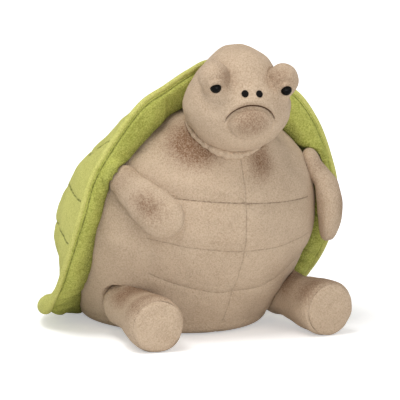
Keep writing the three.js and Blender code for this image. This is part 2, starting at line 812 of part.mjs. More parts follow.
function buildHead() {
  const group = new THREE.Group();
  group.name = "head";
  group.position.copy(headPivot);
  group.rotation.set(0, headTiltAtRest, headTurnAtRest);
  const nearSkin = headSolid(-seamGap);
  const neckward = new THREE.Vector3(0, Math.sin(collarLean), -Math.cos(collarLean));
  const neckCut = halfSpace(neckward.clone().multiplyScalar(headBelowPivot * neckOpeningShare), neckward);
  const eyes = [1, -1].map((side) => {
    const matrix = eyeMatrix(side);
    return { side, matrix, room: eyeSolid(matrix, seamGap).add(washerSolid(matrix, seamGap)) };
  });
  const rooms = eyes.map(({ room }) => room);
  const mouth = mouthSolid(nearSkin);
  const cover = without(headSolid(0), headSolid(plushThickness), neckCut, ...rooms);
  group.add(named("head_cover", cover, beigePlush));
  group.add(named("head_stuffing", without(headSolid(plushThickness + seamGap), ...rooms), stuffing));
  group.add(named("chin_pad", chinSolid(nearSkin, mouth), beigePlush));
  group.add(named("mouth_thread", mouth, brownThread));
  for (const { side, matrix, room } of eyes) {
    group.add(buildBrow(side, nearSkin, room), ...buildEye(side, matrix), buildNostril(side, nearSkin));
  }
  return group;
}

function collarSolid() {
  const arc = (radius, from, to) =>
    Array.from({ length: collarRows + 1 }, (_, i) => {
      const angle = from + ((to - from) * i) / collarRows;
      return new THREE.Vector2(radius * Math.sin(angle), -radius * Math.cos(angle));
    });
  const profile = [
    ...arc(collarHalfWidth + collarThickness, 0, collarHalfAngle),
    ...arc(collarHalfWidth, collarHalfAngle, 0),
  ];
  const bowl = new THREE.LatheGeometry(profile, headSides).rotateX(Math.PI / 2).rotateX(collarLean);
  bowl.scale(1, 1, collarDepth / collarHalfWidth);
  return placedSolid(bowl, new THREE.Matrix4().makeTranslation(headPivot));
}

function buildTurtle() {
  const arms = [1, -1].map(armFrame);
  const legs = [1, -1].map(legFrame);
  const armSockets = arms.map((arm) => socketFor(armForm, arm));
  const armRooms = arms.map((arm) => toWorld(limbSolid(armForm, -socketGap), arm));
  const legSockets = legs.map((leg) => socketFor(legForm, leg));
  const turtle = new THREE.Group();
  const cutters = [headBowl, ...armSockets, ...legSockets];
  turtle.add(buildBody(cutters));
  turtle.add(buildShell([...cutters, ...armRooms]));
  turtle.add(named("neck_collar", collarSolid(), beigePlush));
  turtle.add(buildHead());
  turtle.add(...arms.map(buildArm), ...legs.map(buildLeg));
  const box = new THREE.Box3().setFromObject(turtle, true);
  turtle.position.y = -(box.min.y + box.max.y) / 2;
  return turtle;
}

export default buildTurtle();
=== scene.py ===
"""A seated plush turtle in short-pile fabric. Sizes are in millimetres until a mesh is made."""
import json
import math

import bpy
import numpy as np
from mathutils import Matrix, Vector


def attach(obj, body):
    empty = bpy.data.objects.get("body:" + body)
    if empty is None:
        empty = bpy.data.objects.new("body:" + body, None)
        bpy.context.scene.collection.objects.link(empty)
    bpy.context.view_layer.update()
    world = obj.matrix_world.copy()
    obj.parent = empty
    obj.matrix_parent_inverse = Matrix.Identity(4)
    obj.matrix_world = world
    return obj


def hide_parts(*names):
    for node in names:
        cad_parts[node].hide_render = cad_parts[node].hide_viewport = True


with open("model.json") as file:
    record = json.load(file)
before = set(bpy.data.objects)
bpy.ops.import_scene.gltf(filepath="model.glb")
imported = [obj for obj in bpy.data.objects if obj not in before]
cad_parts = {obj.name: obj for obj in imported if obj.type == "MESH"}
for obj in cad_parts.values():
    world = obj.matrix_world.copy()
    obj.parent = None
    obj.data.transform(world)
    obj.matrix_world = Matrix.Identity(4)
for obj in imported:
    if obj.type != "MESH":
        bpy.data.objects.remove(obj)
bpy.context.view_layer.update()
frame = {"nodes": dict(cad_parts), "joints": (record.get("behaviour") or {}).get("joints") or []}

MM = 0.001
PIVOT = {joint["name"]: np.array(joint["pos_m"]) / MM for joint in frame["joints"]}

# Body: height, half width, depth to the front and to the back, and how far behind the body's origin
# the ring's middle lies, from the seat to the crown
BODY_SIZES = np.array([231, 127, 124.5, 120, 36])
BODY_ROWS = [
    [0, 0, 0, 0, 1.5],
    [0, 0.57, 0.74, 0.66, 1.5],
    [0.022, 0.69, 0.85, 0.76, 1.5],
    [0.082, 0.77, 0.91, 0.84, 1.48],
    [0.19, 0.875, 0.99, 0.88, 1.3],
    [0.303, 0.95, 1.012, 0.89, 0.95],
    [0.411, 0.992, 1, 0.9, 0.556],
    [0.519, 1, 0.984, 0.86, 0.444],
    [0.628, 0.976, 0.936, 0.785, 0.333],
    [0.727, 0.898, 0.875, 0.675, 0.222],
    [0.805, 0.772, 0.763, 0.565, 0],
    [0.874, 0.614, 0.635, 0.455, -0.222],
    [0.935, 0.425, 0.466, 0.34, -0.472],
    [0.978, 0.22, 0.265, 0.2, -0.694],
    [1, 0, 0, 0, -0.78],
]
BODY_COLUMNS = 400
BODY_STEPS = 300
# The fine table's rows that only close the seat
SEAT_ROWS = 8
BODY_MIDDLE = (0, 0, 110)
# Seams' heights or places, and how dark they are
BASE_SEAM = 13
BASE_MARK = 0.1
SIDE_SEAM = 2
SIDE_MARK = 0.12
CENTRE_MARK = 0.32
SEAT_EDGE = 3
# Belly stitch rows: height at the middle, slope and bow across it, half width, and how dark it is
BELLY_ROWS = [
    (47, 0, 0.0033, 84, 0.32),
    (91.8, -0.053, 0.0013, 92, 0.32),
    (140.7, -0.086, 0.0003, 90, 0.55),
]
ROW_FADE = np.array([-10, 6])
ROW_NEAR = 9
ROW_SHOWN = 0.3
# Grooves and puffs: height or depth, and half width
BELLY_GROOVE = (1.1, 2.2)
BELLY_PUFF = (0.9, 11)
BELLY_PUFF_OUT = 15
SIDE_GROOVE = (0.5, 3)
BASE_GROOVE = (0.5, 2.5)
# Where the belly begins, and where lumps and grooves fade in, from nothing to all
BELLY_FRONT = (-20, 10)
SEAT_FADE = (4, 26)
REAR_FADE = (-30, 0)
REAR_LOW = (50, 75)
SIDE_FADE = (1, 10)
# Patches on the chest, partly airbrushed brown and partly painted shade under the head: place, reach
# each way, and strength
CHEST_SPRAY_AND_SHADE = [
    ((-41, -66, 196), (25, 40, 23), 1.2),
    ((22, -86, 178), (15, 30, 19), 0.9),
]
# What the skin is pressed in round: how far the dip reaches and how near its points lie, in sizes
SOCKET_DIP = (1.12, 1.5)
BOWL_DIP = (1.05, 1.9)

# Uneven filling: size, seed and height of each layer of lumps
BODY_LUMPS = [(60, 3, 1.2), (24, 4, 0.5)]
HEAD_LUMPS = [(40, 11, 0.9), (17, 12, 0.35)]
ARM_LUMPS = [(22, 21, 0.5)]
ARM_PATCH_LUMPS = [(9, 61, 0.12)]
LEG_LUMPS = [(30, 31, 0.8)]
SOLE_LUMPS = [(18, 33, 0.5)]
DOME_LUMPS = [(44, 41, 1.0), (19, 42, 0.45)]
BAND_LUMPS = [(34, 51, 1.6), (13, 52, 0.6)]
LUMP_SPREAD = (0.6, 1.3)
# How full each kind of piece is
BODY_FILL = 0.9
LIMB_FILL = 0.85
SOLE_FILL = 0.8
SHELL_FILL = 0.8
FOLD_FILL = 0.5
COLLAR_FILL = 0.4

# Head, in its own frame from the point that it turns about
HEAD_FORWARD = 86
HEAD_TURN = math.radians(-10)
HEAD_TILT = math.radians(1.5)
HEAD_WIDTH = 53
HEAD_FRONT = 50
HEAD_BACK = 52
HEAD_BELOW = 46
HEAD_ABOVE = 60
HEAD_ROWS = [
    [-1, 0, 0, 0],
    [-0.95, 0.3, 0.32, 0.312],
    [-0.835, 0.54, 0.57, 0.55],
    [-0.66, 0.742, 0.78, 0.752],
    [-0.39, 0.915, 0.95, 0.92],
    [-0.08, 1, 1, 1],
    [0.128, 0.981, 1, 0.981],
    [0.32, 0.89, 0.96, 0.904],
    [0.512, 0.765, 0.84, 0.788],
    [0.704, 0.62, 0.7, 0.654],
    [0.83, 0.505, 0.56, 0.53],
    [0.92, 0.385, 0.43, 0.4],
    [0.978, 0.22, 0.24, 0.23],
    [1, 0, 0, 0],
]
HEAD_COLUMNS = 320
HEAD_STEPS = 220
HEAD_TABLE_STEPS = 300
HEAD_SPAN = (5.0, 90.0)
HALVINGS = 26
MARCH_START = 100.0
MARCH_ROUNDS = 40
MARCH_SHARE = 0.8
FACE_FRONT = (5, 25)
HEAD_UNDER = (8, 26)
HEAD_UNDER_PRESS = 0.3
BROW_RADIUS = 15.8
BROW_BLEND = 2.4
BROW_LOW_BLEND = 9
BROW_LOW = (-14, 0)
CHIN_BLEND = 1.6
# Creases round the left brow, the right brow and the chin, and where a brow's crease begins
CREASES = [(1.6, 1.5), (1.6, 1.5), (2.2, 1.5)]
CREASE_FADE = (-8, 2)
# Airbrushed shade: place from the brow's or chin's middle, reach each way, and strength
BROW_SHADE = (np.array([-9, -10, 3]), (12, 14, 12), 0.62)
CHIN_SHADE = (np.array([-3, -15, 2]), (19, 20, 15), 0.66)
BROW_PLACES = {1: np.array([36, -32, 29.5]), -1: np.array([-36, -32, 33.5])}
CHIN_SIZES = np.array([24, 19, 18])
CHIN_PLACE = np.array([0, -39, -10.5])
EYE_RADIUS = 5.6
EYE_SINK = 13.6
EYE_DOWN = math.radians(38)
EYE_OUT = math.radians(3)
EYE_HOLE = 1.6
EYE_ROOM = 1.5
EYE_CLOSE = -8
# The lid over an eye and the crease above it: how far out, height or depth, and half width
LID_OUT = 2.2
LID_PUFF = (2.0, 1.8)
LID_CREASE_OUT = 5.4
LID_CREASE = (1.0, 1.2)
LID_FADE = (-1, 3)
EYE_COLUMNS = 64
NOSTRIL_COLUMNS = 48
CAP_STEPS = 40
NOSTRIL_RADIUS = 3.7
NOSTRIL_BULGE = 1.5
NOSTRIL_ASIDE = 7.2
NOSTRIL_UP = 19
MOUTH_TOP = 7.5
MOUTH_DROP = 17
MOUTH_WIDTH = 26.5
MOUTH_BOW = 0.95
MOUTH_GROOVE = (2.4, 1.6)
MOUTH_FADE = (0.92, 1.12)
LIP_UP = 5
LIP_PUFF = (1.2, 4)
MOUTH_THREAD = 0.7
MOUTH_TAPER = 0.6
MOUTH_SHARE = 0.98
MOUTH_STEPS = 90
MOUTH_SMOOTH = 4
MOUTH_PROUD = 0.3
BOWL_SIZES = np.array([55.6, 55.6, 49.6])
COLLAR_RADIUS = 53.7
COLLAR_DEPTH = 47.7
COLLAR_THICKNESS = 1.5
COLLAR_LEAN = math.radians(40)
COLLAR_SPREAD = math.radians(50)
COLLAR_START = 0.02
COLLAR_EDGE = 0.82
COLLAR_ROLL = 0.2
COLLAR_GATHERS = 26
COLLAR_GATHER_SHARE = 0.5
COLLAR_COLUMNS = 200
COLLAR_STEPS = 50
THROAT_COLUMNS = 360
THROAT_ANGLES = (25, 100, 0.5)
THROAT_SIDES = 20
THROAT_SMOOTH = 15
THROAT_SINK = -1.0
THROAT_SINK_IN = 1.5
THROAT_LEAST = 3
THROAT_PROUD = 0.5
THROAT_DROP = 5
THROAT_FULL = 0.55
THROAT_FRONT_POWER = 8
# Gathers round the throat: count, share of the thickness, and start
THROAT_GATHERS = [(31, 0.1, 0), (19, 0.08, 1)]
FOLD_TURN = math.radians(20)
FOLD_SPAN = (160, 381)

# Limbs: place along, half width, half thickness, and stand-off from the joint's flat
ARM_SIZES = np.array([78, 22, 13, 13])
ARM_ROWS = [
    [0, 0.74, 0.77, 0],
    [0.22, 0.8, 0.88, 0.45],
    [0.45, 0.92, 1, 0.48],
    [0.66, 1, 0.99, 0.2],
    [0.82, 0.95, 0.88, -0.13],
    [0.93, 0.72, 0.66, -0.37],
    [0.985, 0.38, 0.36, -0.48],
    [1, 0, 0, -0.5],
]
ARM_ROOT = (16.5, 10)
ARM_FACE_TURN = math.radians(34)
ARM_FACE_TILT = math.radians(18)
ARM_FORWARD = {"left": math.radians(2), "right": math.radians(57)}
ARM_STEPS = 130
ARM_GROOVE = (0.5, 1.8)
ARM_GROOVE_FADE = (4, 20)
ARM_SEAM_FROM = 0.1
ARM_SEAM_MARK = {"left": 0.5, "right": 0.2}
UNSEEN_SIDE = 9
# Airbrushed patch: place and reach along the arm, half width across it, strength, and its fade
ARM_PATCH = (0.57, 0.22, 13, 0.72)
ARM_PATCH_FADE = (-8, 10)
# Painted shade round an arm's root, where it sits under the band's edge: place and reach along the arm,
# and strength
ARM_ROOT_PAINTED_SHADE = (0.02, 0.16, 0.35)
LEG_SIZES = np.array([104, 28, 28, 28])
LEG_ROWS = [
    [0, 0.84, 0.84, 0],
    [0.2, 0.82, 0.82, 0],
    [0.42, 0.84, 0.84, 0],
    [0.6, 0.92, 0.92, 0],
    [0.76, 1, 1, 0],
    [0.87, 1, 1, 0],
    [0.94, 0.95, 0.95, 0],
]
LEG_ROOT = (23, 23)
LEG_SPLAY = {"left": math.radians(5.5), "right": math.radians(9)}
LEG_DIP = math.radians(3.4)
LEG_STEPS = 150
# Airbrushed patches: place and reach along the leg, and strength
LEG_PATCHES = [(0.8, 0.14, 0.7), (0.32, 0.24, 0.95)]
LEG_PATCH_FADE = (-0.1, 0.7)
SOLE_GROOVE = (1.7, 2.4)
SOLE_SEAM = 0.95
SOLE_INSET = 1.2
SOLE_STEPS = 60
FLOOR_GAP = 0.2
SOLE_BULGE = 4.5
SOLE_ROWS = [
    [0, 0.96],
    [0.45, 0.84],
    [0.8, 0.58],
    [1, 0],
]
LIMB_COLUMNS = 128
ROOT_STEPS = 6
ROOT_FREE = 5
SKIN_GAP = 0.8
PRESS_GAP = 0.6
PRESS_SOFT = 1.5
PRESS_LIMITS = (-30, 30)
# Cords: sides, and how suddenly their ends taper
TUBE_SIDES = 12
TAPER_POWER = 8

# Shell: points of the rim from the top round one side to the foot, as shares of the half width, of
# the length from the rim's front to its rear, and of the height from its foot to its top
RIM_ROWS = [
    [0, 0.065, 1],
    [0.193, 0.03, 0.972],
    [0.361, 0.04, 0.918],
    [0.582, -0.012, 0.868],
    [0.763, 0.004, 0.745],
    [0.904, 0.053, 0.593],
    [0.971, 0.076, 0.453],
    [1, 0.178, 0.27],
    [0.975, 0.328, 0.118],
    [0.924, 0.525, 0.027],
    [0.725, 0.777, 0],
    [0.405, 0.98, 0],
    [0, 1.045, 0],
]
RIM_WIDTH = 148
RIM_FRONT = -43
RIM_FOOT = 15
RIM_TOP = 272
RIM_REAR_REACH = 3.8
RIM_SIDE_POINTS = 9
RIM_FINE = 40
# Level slices of the dome: height, rear, and how full the slice is beside the rim
DOME_ROWS = [
    [0, 1.075, 0.81],
    [0.117, 1.085, 0.8],
    [0.2, 1.06, 1.07],
    [0.3, 1.02, 1.52],
    [0.4, 0.946, 1.78],
    [0.5, 0.845, 1.79],
    [0.595, 0.73, 1.72],
    [0.743, 0.52, 1.22],
    [0.856, 0.3, 1],
    [0.921, 0.165, 1],
    [0.975, 0.085, 1.05],
    [1, 0.065, 1.2],
]
DOME_MIDDLE = 108
DOME_CENTRE = (0, 40, 120)
DOME_COLUMNS = 480
DOME_STEPS = 150
DOME_BLURS = 12
# How far the dome keeps off the body, and up to what share of the way to the rim
DOME_CLEAR = 4
DOME_CLEAR_SHARE = 0.97
# Quilting between the seams: height, how soon it is reached, and depth and half width of a seam
QUILT_PUFF = 1.8
QUILT_SOFT = 9
QUILT_GROOVE = (0.9, 1.7)
QUILT_SINK = 0.5
RIM_SHARE = 0.03
DOME_SEAM_SHARE = 0.6
DOME_SEAM_MARK = 0.9
DOME_SEAM_END = 0.9999
# Seams from the rim: height there, rise for each mm inwards, length, and the corner they run to
EDGE_SEAMS = [
    (62, 0.2, 60, 0),
    (95, 0.2, 60, 0),
    (141, 0.1, 60, 1),
    (206, -0.45, 60, 2),
    (240, -0.2, 40, 3),
]
# Scute seams: heights of the corners that seams from the rim run to, the middle row's half widths
# at and between them, and how far the zigzag goes on past the rim
SCUTE_HEIGHTS = [92, 140, 186, 236]
SCUTE_WIDE = 54
SCUTE_NARROW = 34
SCUTE_PAST = 20
# Piping, and its fuller part at the rim's lower corners: height, half widths and gathers
PIPING_RADIUS = 2.7
PIPING_SIDES = 24
CORNER_HEIGHT = 18
CORNER_ASIDE = (70, 115)
CORNER_PUFF = 2.0
CORNER_GATHER = 0.14
CORNER_GATHER_STEPS = 6
BAND_STEPS = 44
BAND_FINE = 60
BAND_WIDTH = 62
BAND_REACH = 1.1
BAND_TURN = (0.3, 0.8)
# How far the band sweeps back as it turns in, above these heights on the rim
BAND_BACK = 0.5
BAND_BACK_HEIGHTS = (0.1, 0.45)
LIP = 5
LIP_CURVE = 5
BAND_PUFF = 5
BAND_PUFF_POWER = 0.8
# How deep the band goes into the body, and its roll: height, sharpness, and how it turns in there
BAND_SINK = 1.5
ROLL = 2.5
ROLL_POWER = 0.7
ROLL_IN = 3
ROLL_IN_FADE = (0.86, 1)
TOPSTITCH = 5
TOPSTITCH_GROOVE = (1.1, 1.3)
# Gathers where the rim turns under: place and reach along it, height, and steps for each
BAND_GATHERS = (0.42, 0.16, 1.4, 7.5)
# Painted shade on the band, deepening towards its inner edge against the body: strength, how much less
# over the arm roots, and where it begins up and down
BAND_PAINTED_SHADE = 0.9
BAND_PAINTED_SHADE_LAP = 0.7
BAND_PAINTED_SHADE_FROM = (0.5, 0.25)
# The band's lap over an arm root: radius it ends at, reach of its ends, and the bridge to the rim
LAP_RADIUS = 8
LAP_REACH = (18, 27)
LAP_NEAR = 60
LAP_RIM = (26, 16, 12)
BRIDGE_INSET = 4
BRIDGE_FADE = (0.4, 0.8)
BRIDGE_BESIDE = 40
BAND_BLURS = (6, 4)

# Values for no seam nearby, a seam's plain mark, and a distance out of reach
NO_SEAM = 99.0
PLAIN_MARK = 0.6
FAR = 999.0
TINY = 1e-6

# Pile, from tufts to broad shading: size, detail, roughness, warp, and share of the shade
PILE = [(1.5, 2, 0.6, 0.4, 0.68), (8, 2, 0.5, 0.8, 0.14), (46, 1, 0.55, 0, 0.18)]
PILE_SPAN = (0.32, 0.64)
# How the pile breaks up the patches of airbrushed brown and painted shade
SPRAY_AND_SHADE_SPAN = (0.3, 0.65, 1.15, 0.6)
SEAM_SPAN = (0.2, 1.0, 1, 0)
STITCH_SIZE = 3.2
STITCH_SPAN = (0.4, 0.55, 0.55, 1)
SEAM_DEPTH = 0.7
FINE_PILE = 1.1
FINE_SHARE = 0.45
PILE_BUMP = {"Strength": 0.7, "Distance": 0.0018}
PLUSH_FINISH = {
    "Roughness": 0.95,
    "Specular IOR Level": 0.15,
    "Sheen Weight": 0.25,
    "Sheen Roughness": 0.45,
}
THREAD_WAVE = {"Scale": 700.0, "Distortion": 1.5, "Detail": 1.0}
THREAD_LIGHT = 2.2
THREAD_BUMP = {"Strength": 0.6, "Distance": 0.0004}
THREAD_FINISH = {"Roughness": 0.8, "Specular IOR Level": 0.1}
EYE_CLOUD = 3
EYE_SPAN = (0.3, 0.7)
EYE_ROUGHNESS = (0.05, 0.1)
EYE_SPECULAR = 0.09
INNER_SPAN = (0.35, 0.65)
INNER_BUMP = {"Strength": 0.5, "Distance": 0.001}
INNER_FINISH = {"Roughness": 0.95}

# Studio, in metres: each light's place, size and power
LIGHTS = {
    "key": ((-0.7, -0.35, 2.0), 0.9, 24),
    "fill": ((-0.1, -1.8, 0.15), 1.5, 12),
    "catch": ((-0.75, -1.6, 0.42), 0.16, 3.5),
}
LIGHT_AIM = (0, 0, 0.12)
WORLD_STRENGTH = 0.47
WHITE = (1, 1, 1, 1)
FLOOR_FINISH = {"Base Color": (0.9, 0.9, 0.9, 1), "Roughness": 0.9, "Emission Color": WHITE}
FLOOR_LIFT = (0.3, 1.2, 0.4, 0.65)
FLOOR_REACH = 12.0
FLOOR_DROP = 0.0002
CAMERA_LENS = 720
CAMERA_SENSOR = 36
CAMERA_END = 60
CAMERA_DISTANCE = 8
CAMERA_AZIMUTH = math.radians(-28)
CAMERA_ELEVATION = math.radians(10)
CAMERA_AIM = (3.5, -1.9, 127.9)

SHIFT = PIVOT["head_turn"][1] + HEAD_FORWARD
SIDES = {"left": 1, "right": -1}


# Helpers

def turns(count):
    """Even angles once round."""
    return np.linspace(0, 2 * math.pi, count, endpoint=False)


def stacked(*parts):
    """Points from arrays of x, y and z that are widened to one shape."""
    return np.stack(np.broadcast_arrays(*parts), -1)


def unit(ways):
    return ways / np.linalg.norm(ways, axis=-1, keepdims=True)


def smoothed(rows, count, round_ends=(True, True)):
    """Rows of a table joined by a smooth curve, at even steps along it. A round end closes level."""
    rows = np.array(rows, float)
    steps = np.linalg.norm(np.diff(rows[:, :3], axis=0), axis=1)
    at = np.concatenate([[0], np.cumsum(np.maximum(steps, TINY))])
    slopes = np.gradient(rows, at, axis=0)
    for end, level in zip((0, -1), round_ends):
        if level:
            slopes[end, 0] = 0
    t = np.linspace(0, at[-1], count)
    i = np.clip(np.searchsorted(at, t, side="right") - 1, 0, len(at) - 2)
    h = (at[i + 1] - at[i])[:, None]
    u = (t - at[i])[:, None] / h
    return (
        (2 * u**3 - 3 * u**2 + 1) * rows[i]
        + (u**3 - 2 * u**2 + u) * h * slopes[i]
        + (3 * u**2 - 2 * u**3) * rows[i + 1]
        + (u**3 - u**2) * h * slopes[i + 1]
    )


def ease(value, low, high):
    t = np.clip((value - low) / (high - low), 0, 1)
    return t * t * (3 - 2 * t)


def bell(value, width, power=2):
    """One at nothing, falling off over the width."""
    return np.exp(-((value / width) ** power))


def dent(away, shape):
    """How deep a groove or how high a puff is, from its height and half width."""
    height, width = shape
    return height * bell(away, width)


def spot(points, place, reach, power=2):
    """A patch: one at its place, falling off over its reach each way."""
    return bell(np.linalg.norm((points - place) / reach, axis=-1), 1, power)


def averaged(values, reach, mode):
    """A running mean over a reach to each side."""
    count = 2 * reach + 1
    return np.convolve(np.pad(values, reach, mode=mode), np.ones(count) / count, mode="valid")


def lumps(points, size, seed, waves=26):
    """Smooth, even lumps of about the size given, between -1 and 1."""
    rng = np.random.default_rng(seed)
    ways = unit(rng.normal(size=(waves, 3)))
    ways *= 2 * math.pi / size * rng.uniform(*LUMP_SPREAD, (waves, 1))
    phase = rng.uniform(0, 2 * math.pi, waves)
    return np.clip(np.sin(points @ ways.T + phase).sum(-1) / math.sqrt(waves), -1, 1)


def uneven(points, layers):
    """All the layers of lumps together."""
    return sum(lumps(points, size, seed) * height for size, seed, height in layers)


def grid_normals(grid):
    """Unit normals of a grid of points, rows by columns, whose last column meets its first."""
    across = (np.roll(grid, -1, axis=1) - np.roll(grid, 1, axis=1)) / 2
    normals = np.cross(across, np.gradient(grid, axis=0))
    return normals / np.maximum(np.linalg.norm(normals, axis=-1, keepdims=True), TINY)


def outward(grid, middle=None):
    """The normals of a grid, turned to point away from the middle."""
    normals = grid_normals(grid)
    middle = grid.reshape(-1, 3).mean(0) if middle is None else middle
    return normals * np.sign(((grid - middle) * normals).sum())


def at_least(grid, away):
    """The grid's point where a distance is least."""
    return grid[np.unravel_index(away.argmin(), away.shape)]


# Meshes

def faces_of(rows, columns):
    i, j = np.meshgrid(np.arange(rows - 1), np.arange(columns), indexing="ij")
    a, b = i * columns + j, i * columns + (j + 1) % columns
    return np.stack([a, b, b + columns, a + columns], -1).reshape(-1, 4)


def make_mesh(name, points, faces, normals, masks, material):
    """A mesh object from points in millimetres, its faces turned to agree with the normals given."""
    used, index = np.unique(faces, return_inverse=True)
    faces = index.reshape(faces.shape)
    points, normals = points[used], normals[used]
    corner = points[faces]
    facing = np.cross(corner[:, 2] - corner[:, 0], corner[:, 3] - corner[:, 1])
    if (facing * normals[faces[:, 0]]).sum() < 0:
        faces = faces[:, ::-1]
    mesh = bpy.data.meshes.new(name)
    mesh.from_pydata((points * MM).tolist(), [], faces.tolist())
    mesh.validate()
    mesh.polygons.foreach_set("use_smooth", [True] * len(mesh.polygons))
    for key, values in masks.items():
        layer = mesh.attributes.new(key, "FLOAT", "POINT")
        layer.data.foreach_set("value", values.reshape(-1)[used].astype(np.float32))
    mesh.materials.append(material)
    obj = bpy.data.objects.new(name, mesh)
    bpy.context.scene.collection.objects.link(obj)
    return obj


def piece(name, grid, normals, material, body, slot, nodes=(), fill=None, keep=None, **masks):
    """One piece of the toy from a grid of points. keep chooses which of the grid's faces it has."""
    faces = faces_of(*grid.shape[:2])
    if keep is not None:
        faces = faces[keep.reshape(-1)[faces[:, 0]]]
    masks = {"seam": NO_SEAM, "mark": PLAIN_MARK, "patch": 0} | masks
    masks = {key: np.broadcast_to(values, grid.shape[:2]) for key, values in masks.items()}
    obj = make_mesh(name, grid.reshape(-1, 3), faces, normals.reshape(-1, 3), masks, material)
    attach(obj, body)
    if nodes:
        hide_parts(*nodes)


# Materials

def feed(tree, value, socket):
    """Links a node's output to a socket, or sets the socket's own value."""
    if isinstance(value, bpy.types.NodeSocket):
        tree.links.new(value, socket)
    else:
        socket.default_value = value


def add(tree, kind, **inputs):
    made = tree.nodes.new(kind)
    for key, value in inputs.items():
        feed(tree, value, made.inputs[key.replace("_", " ")])
    return made


def maths(tree, operation, *values):
    made = tree.nodes.new("ShaderNodeMath")
    made.operation = operation
    for socket, value in zip(made.inputs, values):
        feed(tree, value, socket)
    return made.outputs[0]


def remap(tree, value, low, high, to_low=0.0, to_high=1.0):
    made = add(tree, "ShaderNodeMapRange", Value=value, From_Min=low, From_Max=high, To_Min=to_low,
               To_Max=to_high)
    made.interpolation_type = "SMOOTHSTEP"
    return made.outputs[0]


def mix(tree, share, first, second):
    """Two colours mixed. Those sockets share their names with others, so they go by number."""
    made = tree.nodes.new("ShaderNodeMix")
    made.data_type = "RGBA"
    for number, value in ((0, share), (6, first), (7, second)):
        feed(tree, value, made.inputs[number])
    return made.outputs[2]


def srgb(red, green, blue):
    channels = [c / 255 for c in (red, green, blue)]
    return [c / 12.92 if c <= 0.04045 else ((c + 0.055) / 1.055) ** 2.4 for c in channels] + [1.0]


def noise(tree, where, size, detail=2.0, rough=0.55, warp=0.0):
    made = add(tree, "ShaderNodeTexNoise", Vector=where, Scale=1 / (size * MM), Detail=detail,
               Roughness=rough, Distortion=warp)
    return made.outputs["Fac"]


def position(tree):
    return tree.nodes.new("ShaderNodeTexCoord").outputs["Object"]


def attribute(tree, name):
    made = tree.nodes.new("ShaderNodeAttribute")
    made.attribute_name = name
    return made.outputs["Fac"]


def new_material(name, finish):
    material = bpy.data.materials.new(name)
    material.use_nodes = True
    tree = material.node_tree
    shader = tree.nodes["Principled BSDF"]
    for key, value in finish.items():
        shader.inputs[key].default_value = value
    return material, tree, shader


def bumped(tree, shader, height, size):
    bump = add(tree, "ShaderNodeBump", Height=height, **size)
    tree.links.new(bump.outputs[0], shader.inputs["Normal"])


def plush(name, light, dark, patch, seam):
    """Short pile: fine tufts, brushed areas, patches of airbrushed brown and of painted shade, and
    stitched seams.
    """
    material, tree, shader = new_material(name, PLUSH_FINISH | {"Sheen Tint": light})
    where = position(tree)
    layers = [noise(tree, where, *settings[:4]) for settings in PILE]
    shares = [maths(tree, "MULTIPLY", layer, settings[4]) for layer, settings in zip(layers, PILE)]
    shade = maths(tree, "ADD", maths(tree, "ADD", *shares[:2]), shares[2])
    colour = mix(tree, remap(tree, shade, *PILE_SPAN), dark, light)
    # The patch attribute mixes in the patch colour, for airbrushed brown and for painted shade alike
    spray_and_shade = maths(tree, "MULTIPLY", attribute(tree, "patch"), remap(tree, layers[0], *SPRAY_AND_SHADE_SPAN))
    colour = mix(tree, maths(tree, "MINIMUM", spray_and_shade, 1), colour, patch)
    line = remap(tree, maths(tree, "ABSOLUTE", attribute(tree, "seam")), *SEAM_SPAN)
    line = maths(tree, "MULTIPLY", line, attribute(tree, "mark"))
    stitches = remap(tree, noise(tree, where, STITCH_SIZE, 1), *STITCH_SPAN)
    line = maths(tree, "MULTIPLY", line, stitches)
    tree.links.new(mix(tree, line, colour, seam), shader.inputs["Base Color"])
    fine = maths(tree, "MULTIPLY", noise(tree, where, FINE_PILE), FINE_SHARE)
    height = maths(tree, "ADD", layers[0], fine)
    height = maths(tree, "SUBTRACT", height, maths(tree, "MULTIPLY", line, SEAM_DEPTH))
    bumped(tree, shader, height, PILE_BUMP)
    return material


# Brown for airbrushed patches, and also the colour of painted shade on the chest and at the arm roots
BROWN = srgb(122, 90, 66)
beige = plush("beige plush", srgb(206, 184, 159), srgb(181, 157, 132), BROWN, srgb(92, 72, 54))
green = plush("green plush", srgb(214, 212, 128), srgb(186, 186, 98), srgb(132, 134, 58),
              srgb(92, 98, 40))
# The band's plush is the dome's green painted darker, as shade on the underside, and its patch colour
# is a deeper painted shade
shaded_green_band = plush("green band plush", srgb(196, 197, 106), srgb(148, 152, 68), srgb(76, 80, 30),
                   srgb(80, 86, 36))


def thread(name, colour):
    material, tree, shader = new_material(name, THREAD_FINISH)
    wave = add(tree, "ShaderNodeTexWave", Vector=position(tree), **THREAD_WAVE).outputs["Fac"]
    lighter = [min(c * THREAD_LIGHT, 1) for c in colour[:3]] + [1.0]
    tree.links.new(mix(tree, wave, colour, lighter), shader.inputs["Base Color"])
    bumped(tree, shader, wave, THREAD_BUMP)
    return material


def glossy(name, dark, light):
    material, tree, shader = new_material(name, {"Specular IOR Level": EYE_SPECULAR})
    cloudy = noise(tree, position(tree), EYE_CLOUD, 1)
    tree.links.new(mix(tree, remap(tree, cloudy, *EYE_SPAN), dark, light), shader.inputs["Base Color"])
    tree.links.new(remap(tree, cloudy, *EYE_SPAN, *EYE_ROUGHNESS), shader.inputs["Roughness"])
    return material


black_thread = thread("black embroidery", srgb(14, 12, 11))
brown_thread = thread("brown mouth thread", srgb(70, 50, 36))
eye_black = glossy("black eye", srgb(6, 6, 5), srgb(16, 15, 12))


# Body form

body_rows = smoothed(BODY_ROWS * BODY_SIZES, BODY_STEPS)
body_rows[:, :4] = np.maximum(body_rows[:, :4], 0)


def ring_at(height):
    """Half width, front, back and middle of the body at some heights."""
    wide = body_rows[SEAT_ROWS:]
    return [np.interp(height, wide[:, 0], wide[:, k]) for k in (1, 2, 3, 4)]


